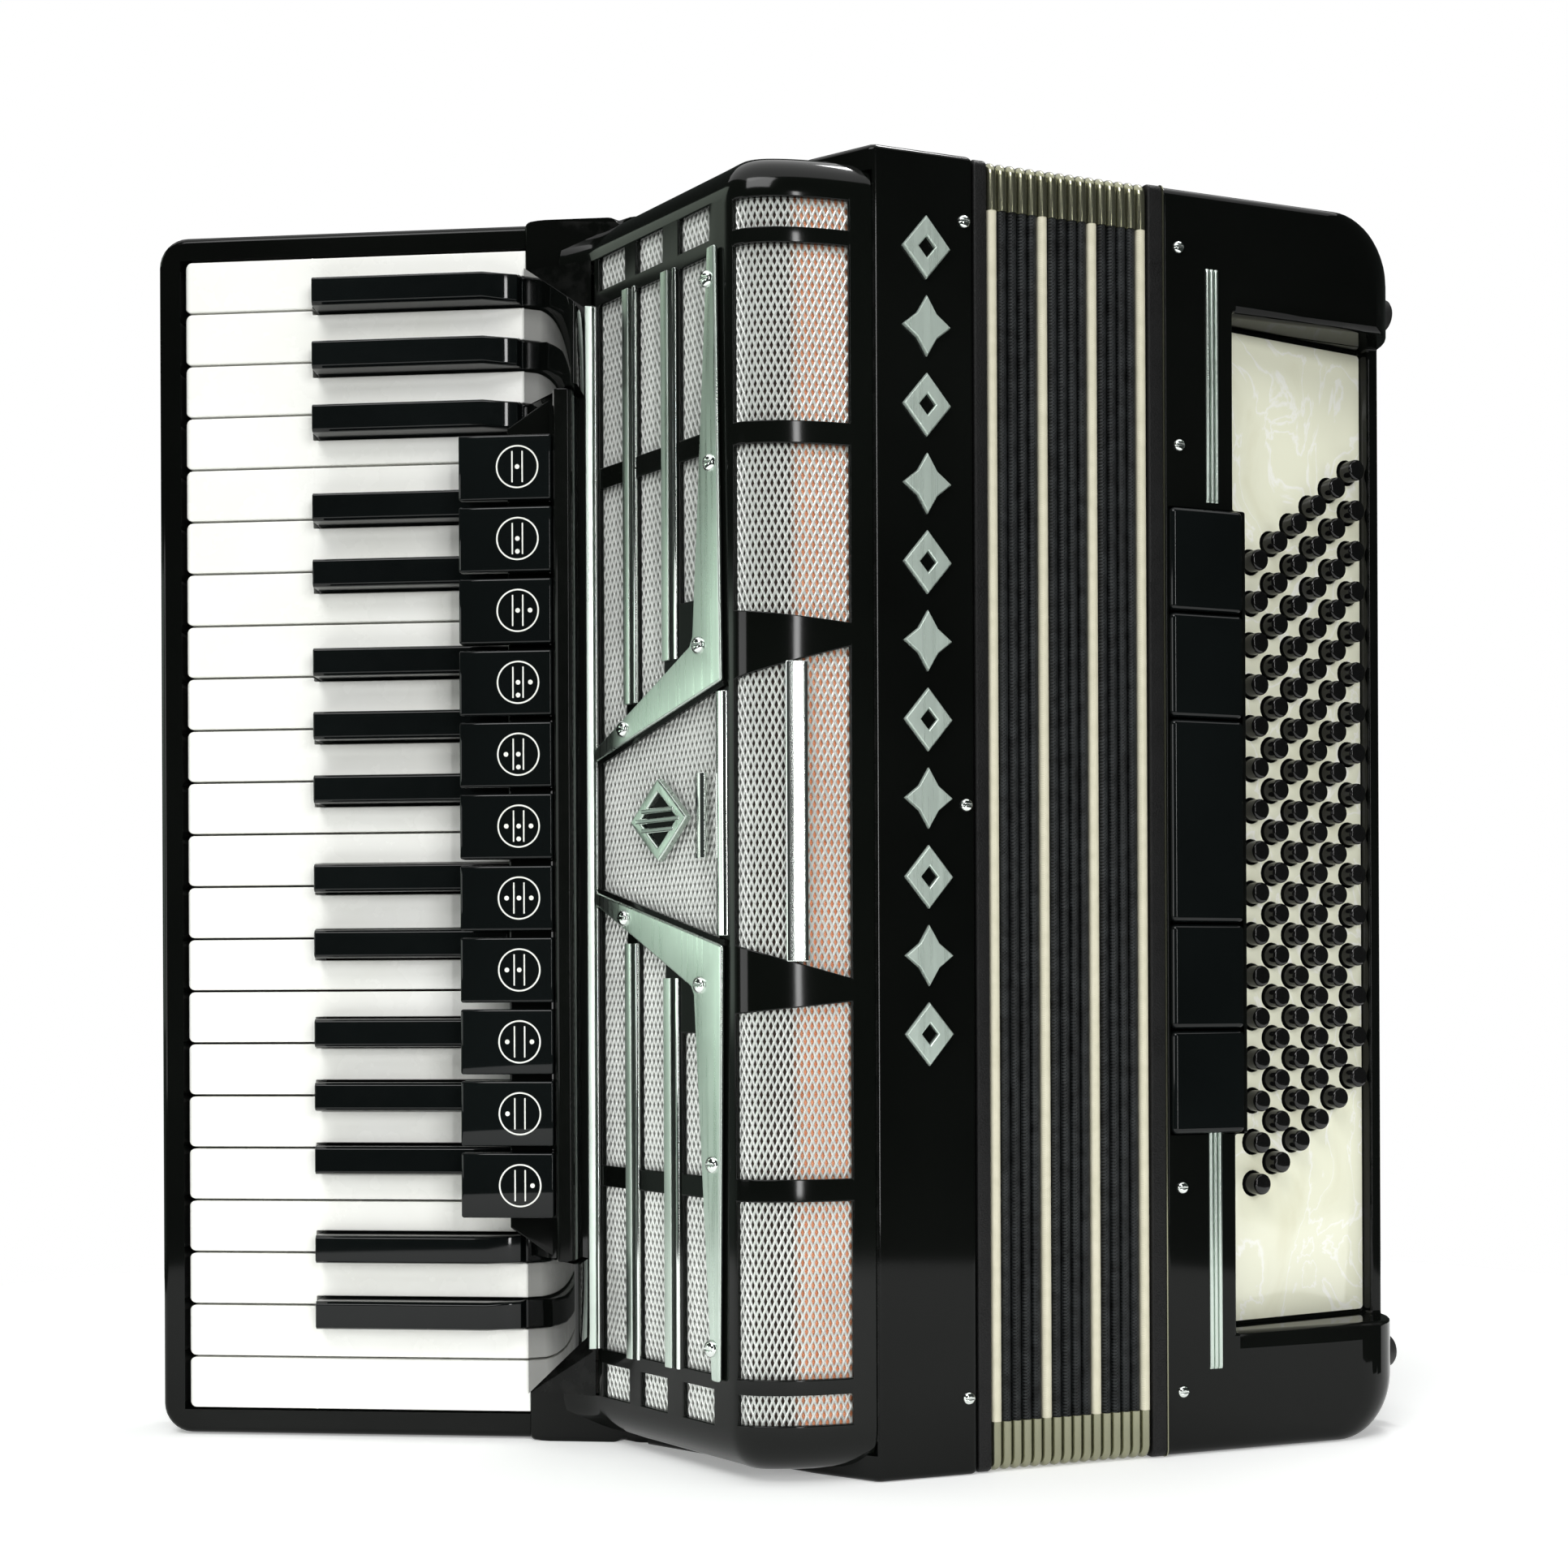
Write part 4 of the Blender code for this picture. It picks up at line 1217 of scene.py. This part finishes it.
def button_plate():
    """Mother-of-pearl plate in the recess, drilled for the buttons, with a tab at each end of the shelf."""
    shelf, half = SHELF_LEFT - PLATE[0].x, PLATE_HALF - 1.2
    under, top = 0.05, 1.0
    outline = rounded(0.3, (PLATE[1] - PLATE[0]).length - 0.4, MIDDLE - half, MIDDLE + half, 1.5)
    plate = prism("button_plate", outline, under, top, plated)
    soften(plate, 0.25, 2)
    cut(plate, button_holes(4.9), -2, 3, plated)
    dress(plate, PEARL, "bass")
    near = REGISTER_REACH + 0.8
    outline = [(0.2, near), (0.2, half), *arc(shelf + 4.4, half - 4.0, 4.0, 90, 180, 8), (shelf + 0.4, near)]
    for word, sign in HALVES:
        tab = prism(f"button_plate_{word}", mirrored(outline, sign), under, top, pearl_shelf)
        dress(tab, PEARL, "bass", bevel=0.2)


def bass_buttons():
    """Turned buttons with a rounded rim and slightly domed top, on one carrier."""
    profile = [(3.9, -12.0), (3.9, 6.0), (3.75, 6.6), (3.35, 7.05), (2.7, 7.25), (1.25, 7.42), (0.3, 7.45)]
    stacks = [turned(profile, *spot, plated, 22) for spot in button_spots()]
    carrier = rectangle(5.0, 63.5, BUTTON_FIRST[1] - 7, BUTTON_FIRST[1] + 275)
    stacks.append([[plated(a, z, proud) for a, z in carrier] for proud in (-15.0, -12.05)])
    dress(loft("bass_button_set", *stacks), BUTTON_BLACK, "bass_buttons", "bass_button_bank")


def bass_registers(names):
    for name in names:
        low, high = ((corner - ORIGIN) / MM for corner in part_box(name))
        block = prism(name + "_block", rectangle(low.x, high.x, low.z, high.z), low.y, high.y, front)
        dress(block, KEY_BLACK, name, name, bevel=2.2, segments=5)


def ribbed_trim():
    """Two bright trims of three ribs beside the recess."""
    radius, first, pitch = 0.85, 127.6, 1.75
    turns = np.linspace(0, math.pi, 9)
    taper = [(0.0, 0.4), (0.5, 0.8), (1.2, 1.0)]
    for word, low, high in (("upper", 338.4, 421.4), ("lower", 30.4, 115.4)):
        ends = [(low + a, size) for a, size in taper] + [(high - a, size) for a, size in reversed(taper)]
        stacks = []
        for rib in range(3):
            middle = first + rib * pitch
            section = [(middle + radius * math.cos(turn), -0.9 * math.sin(turn)) for turn in turns]
            section += [(middle - radius, 0.3), (middle + radius, 0.3)]
            stacks.append([[front(x, z, y * size if y < 0 else y) for x, y in section] for z, size in ends])
        dress(loft(f"ribbed_trim_{word}", *stacks), SATIN, "bass")


def feet():
    profile = [(6.5, -1.0), (6.5, 5.2), (6.2, 6.6), (5.4, 7.5), (4.2, 7.9), (1.0, 8.0)]
    profile = [(radius, BASS_RIGHT + out) for radius, out in profile]
    corners = [(depth, height) for depth in (28.0, DEPTH - 28.0) for height in (27.0, HEIGHT - 27.0)]
    for number, corner in enumerate(corners, 1):
        dress(loft(f"rubber_foot_{number}", turned(profile, *corner, sideways, 28)), RUBBER, "bass")


def hand_strap():
    """Leather strap bowed over the bass end, with its brackets."""
    rings = []
    for share in np.linspace(0, 1, 25):
        bow = math.sin(math.pi * min(share, 1 - share))
        rise, width = 1.2 + 13.5 * bow ** 0.7, 31.0 + 6.0 * bow
        leans = [-1 + side / 4 for side in range(9)]
        section = [(width * lean, rise + 2.4 - 1.6 * lean * lean) for lean in leans]
        section += [(width * 0.98 * lean, rise - 0.9 * lean * lean - 0.2) for lean in reversed(leans)]
        rings.append([above(BASS_RIGHT + out, DEPTH / 2 + y, 62.0 + 326.0 * share) for y, out in section])
    dress(loft("hand_strap", rings), LEATHER, "bass", bevel=0.4)
    for word, height in (("lower", 60.0), ("upper", 390.0)):
        outline = rounded(66.0, 134.0, height - 9, height + 9, 3.0)
        plate = prism(f"strap_bracket_{word}", outline, BASS_RIGHT - 0.5, BASS_RIGHT + 1.6, sideways)
        dress(plate, CHROME, "bass", bevel=0.5)
        for number, depth in enumerate((73.0, 127.0), 1):
            place = above(BASS_RIGHT + 1.6, depth, height)
            screw(f"strap_screw_{word}_{number}", place, Vector((1, 0, 0)), 2.4, "bass")


def back_fittings():
    """Shoulder strap brackets on the back, each with its wire loop."""
    wire = 1.2
    for word, height in (("upper", 428.0), ("lower", 22.0)):
        outline = rounded(-45.0, -21.0, height - 8, height + 8, 2.5)
        plate = prism(f"shoulder_bracket_{word}", outline, DEPTH - 0.4, DEPTH + 1.4, front)
        dress(plate, CHROME, bevel=0.4)
        rings = []
        for turn in np.linspace(0, math.pi, 17):
            x, y = -33.0 + 8.5 * math.cos(turn), DEPTH + 2.3 + 2.4 * math.sin(turn)
            rings.append([
                above(x + out * math.cos(turn), y + out * math.sin(turn), height + up)
                for out, up in circle(0, 0, wire, 8)
            ])
        dress(loft(f"shoulder_loop_{word}", rings), CHROME)


def strap_studs():
    """Small round studs behind the two ends of the cover."""
    profile = [(2.0, -0.5), (2.0, 0.6), (2.6, 0.8), (2.7, 1.6), (2.0, 2.4), (0.6, 2.7)]
    for word, end, sign in (("upper", HEIGHT, 1), ("lower", 0.0, -1)):
        lifted = [(radius, end + sign * (lift - 2.5)) for radius, lift in profile]
        dress(loft(f"strap_stud_{word}", turned(lifted, -62.0, 118.0, above)), BUTTON_BLACK)


# Stage

def softbox(name, place, width, height, radiance, colour=(1, 1, 1)):
    """Area light that faces the instrument; radiance is what a mirror would show of it."""
    data = bpy.data.lights.new(name, "AREA")
    data.shape, data.size, data.size_y = "RECTANGLE", width, height
    data.energy = radiance * math.pi * width * height
    data.color = colour
    lamp = bpy.data.objects.new(name, data)
    bpy.context.scene.collection.objects.link(lamp)
    lamp.location = place
    lamp.rotation_euler = (Vector((0.0, 0.0, 0.22)) - Vector(place)).to_track_quat("-Z", "Y").to_euler()
    lamp.visible_camera = False
    return lamp


def floor_finish():
    """Matte white paper that fades into the white behind it."""
    pale = Finish("floor_pale", (0.90, 0.91, 0.90), 0.7)
    pale.tint(pale.noise(3.0), [(0.3, (0.89, 0.90, 0.89)), (0.7, (0.91, 0.92, 0.91))])
    gradient_factor = pale.texture("ShaderNodeTexGradient", "Fac", (1.6, 1.6, 1.6), gradient_type="SPHERICAL")
    glow = pale.ramp(gradient_factor, [(0.0, (0.5, 0.5, 0.5)), (0.75, (0.28, 0.28, 0.28))])
    pale.set("Emission Strength", 1.0)
    pale.link(glow, pale.shader.inputs["Emission Color"])
    return pale.made


def camera():
    data = bpy.data.cameras.new("camera")
    made = bpy.data.objects.new("camera", data)
    bpy.context.scene.collection.objects.link(made)
    made.location = above(-250.7, -632.9, 163.75)
    made.rotation_euler = (math.radians(90), math.radians(0.25), math.radians(-19))
    data.lens, data.sensor_width, data.shift_y, data.clip_start = 46.58, 36.0, 0.135, 0.01
    bpy.context.scene.camera = made


def stage():
    """Floor, studio lights and the white that the camera sees behind."""
    corners = circle(-5, 60, 620.0, 96)
    floor = build("floor", [above(x, y, 0) for x, y in corners], [tuple(range(96))])
    floor.data.materials.append(floor_finish())
    for name, place, width, height, radiance, *colour in (
        ("top_box", (0.0, 0.0, 1.9), 2.6, 2.2, 1.3),
        ("lamp", (0.5, 0.15, 1.85), 0.5, 0.14, 30.0),
        ("key_box", (-1.2, -1.5, 2.1), 1.3, 1.0, 7.0),
        ("strip_box", (-0.2, -2.4, 0.55), 0.12, 1.5, 20.0),
        ("sheen_panel", (-1.85, 1.4, 1.62), 0.9, 0.7, 1.4, (0.86, 1.0, 0.84)),
        ("side_panel", (-2.15, 0.44, 0.42), 1.0, 0.6, 2.1, (0.84, 1.0, 0.87)),
        ("low_panel", (-2.1, 0.9, 0.3), 2.4, 1.0, 0.34, (0.80, 1.0, 0.86)),
        ("left_box", (-2.3, -0.9, 0.42), 0.9, 0.8, 3.6),
    ):
        softbox(name, place, width, height, radiance, *colour)
    softbox("fill_box", (0.25, -2.2, 0.8), 0.7, 0.8, 8.5).visible_glossy = False
    world = bpy.data.worlds.new("studio")
    bpy.context.scene.world = world
    world.use_nodes = True
    nodes, links = world.node_tree.nodes, world.node_tree.links
    seen, lit, mix = nodes["Background"], nodes.new("ShaderNodeBackground"), nodes.new("ShaderNodeMixShader")
    seen.inputs["Color"].default_value = (1.0, 1.0, 1.0, 1.0)
    lit.inputs["Color"].default_value = (0.30, 0.34, 0.32, 1.0)
    lit.inputs["Strength"].default_value = 0.12
    links.new(nodes.new("ShaderNodeLightPath").outputs["Is Camera Ray"], mix.inputs["Fac"])
    links.new(lit.outputs[0], mix.inputs[1])
    links.new(seen.outputs[0], mix.inputs[2])
    links.new(mix.outputs[0], nodes["World Output"].inputs["Surface"])
    bpy.context.scene.view_settings.view_transform = "Standard"


def reed_block():
    """The CAD reed block stays as it is, in planed spruce."""
    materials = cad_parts["treble_reed_block"].data.materials
    materials.clear()
    materials.append(SPRUCE.made)


def names_of(kind):
    return sorted(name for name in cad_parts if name.startswith(kind))


camera()
stage()
treble_body()
keyboard_frame()
register_housing()
key_rail()
white_keys(names_of("white"), names_of("black"))
black_keys(names_of("black"))
treble_registers(names_of("treble_register"))
grille_cover()
expanded_metal()
grille_cloth()
cover_trim()
steel_plates()
medallion()
front_ornaments()
bellows_pins()
seam_bead()
bellows_folds()
bellows_edging()
bellows_frames()
bass_case()
button_plate()
bass_buttons()
bass_registers(names_of("bass_register"))
ribbed_trim()
feet()
hand_strap()
back_fittings()
strap_studs()
reed_block()
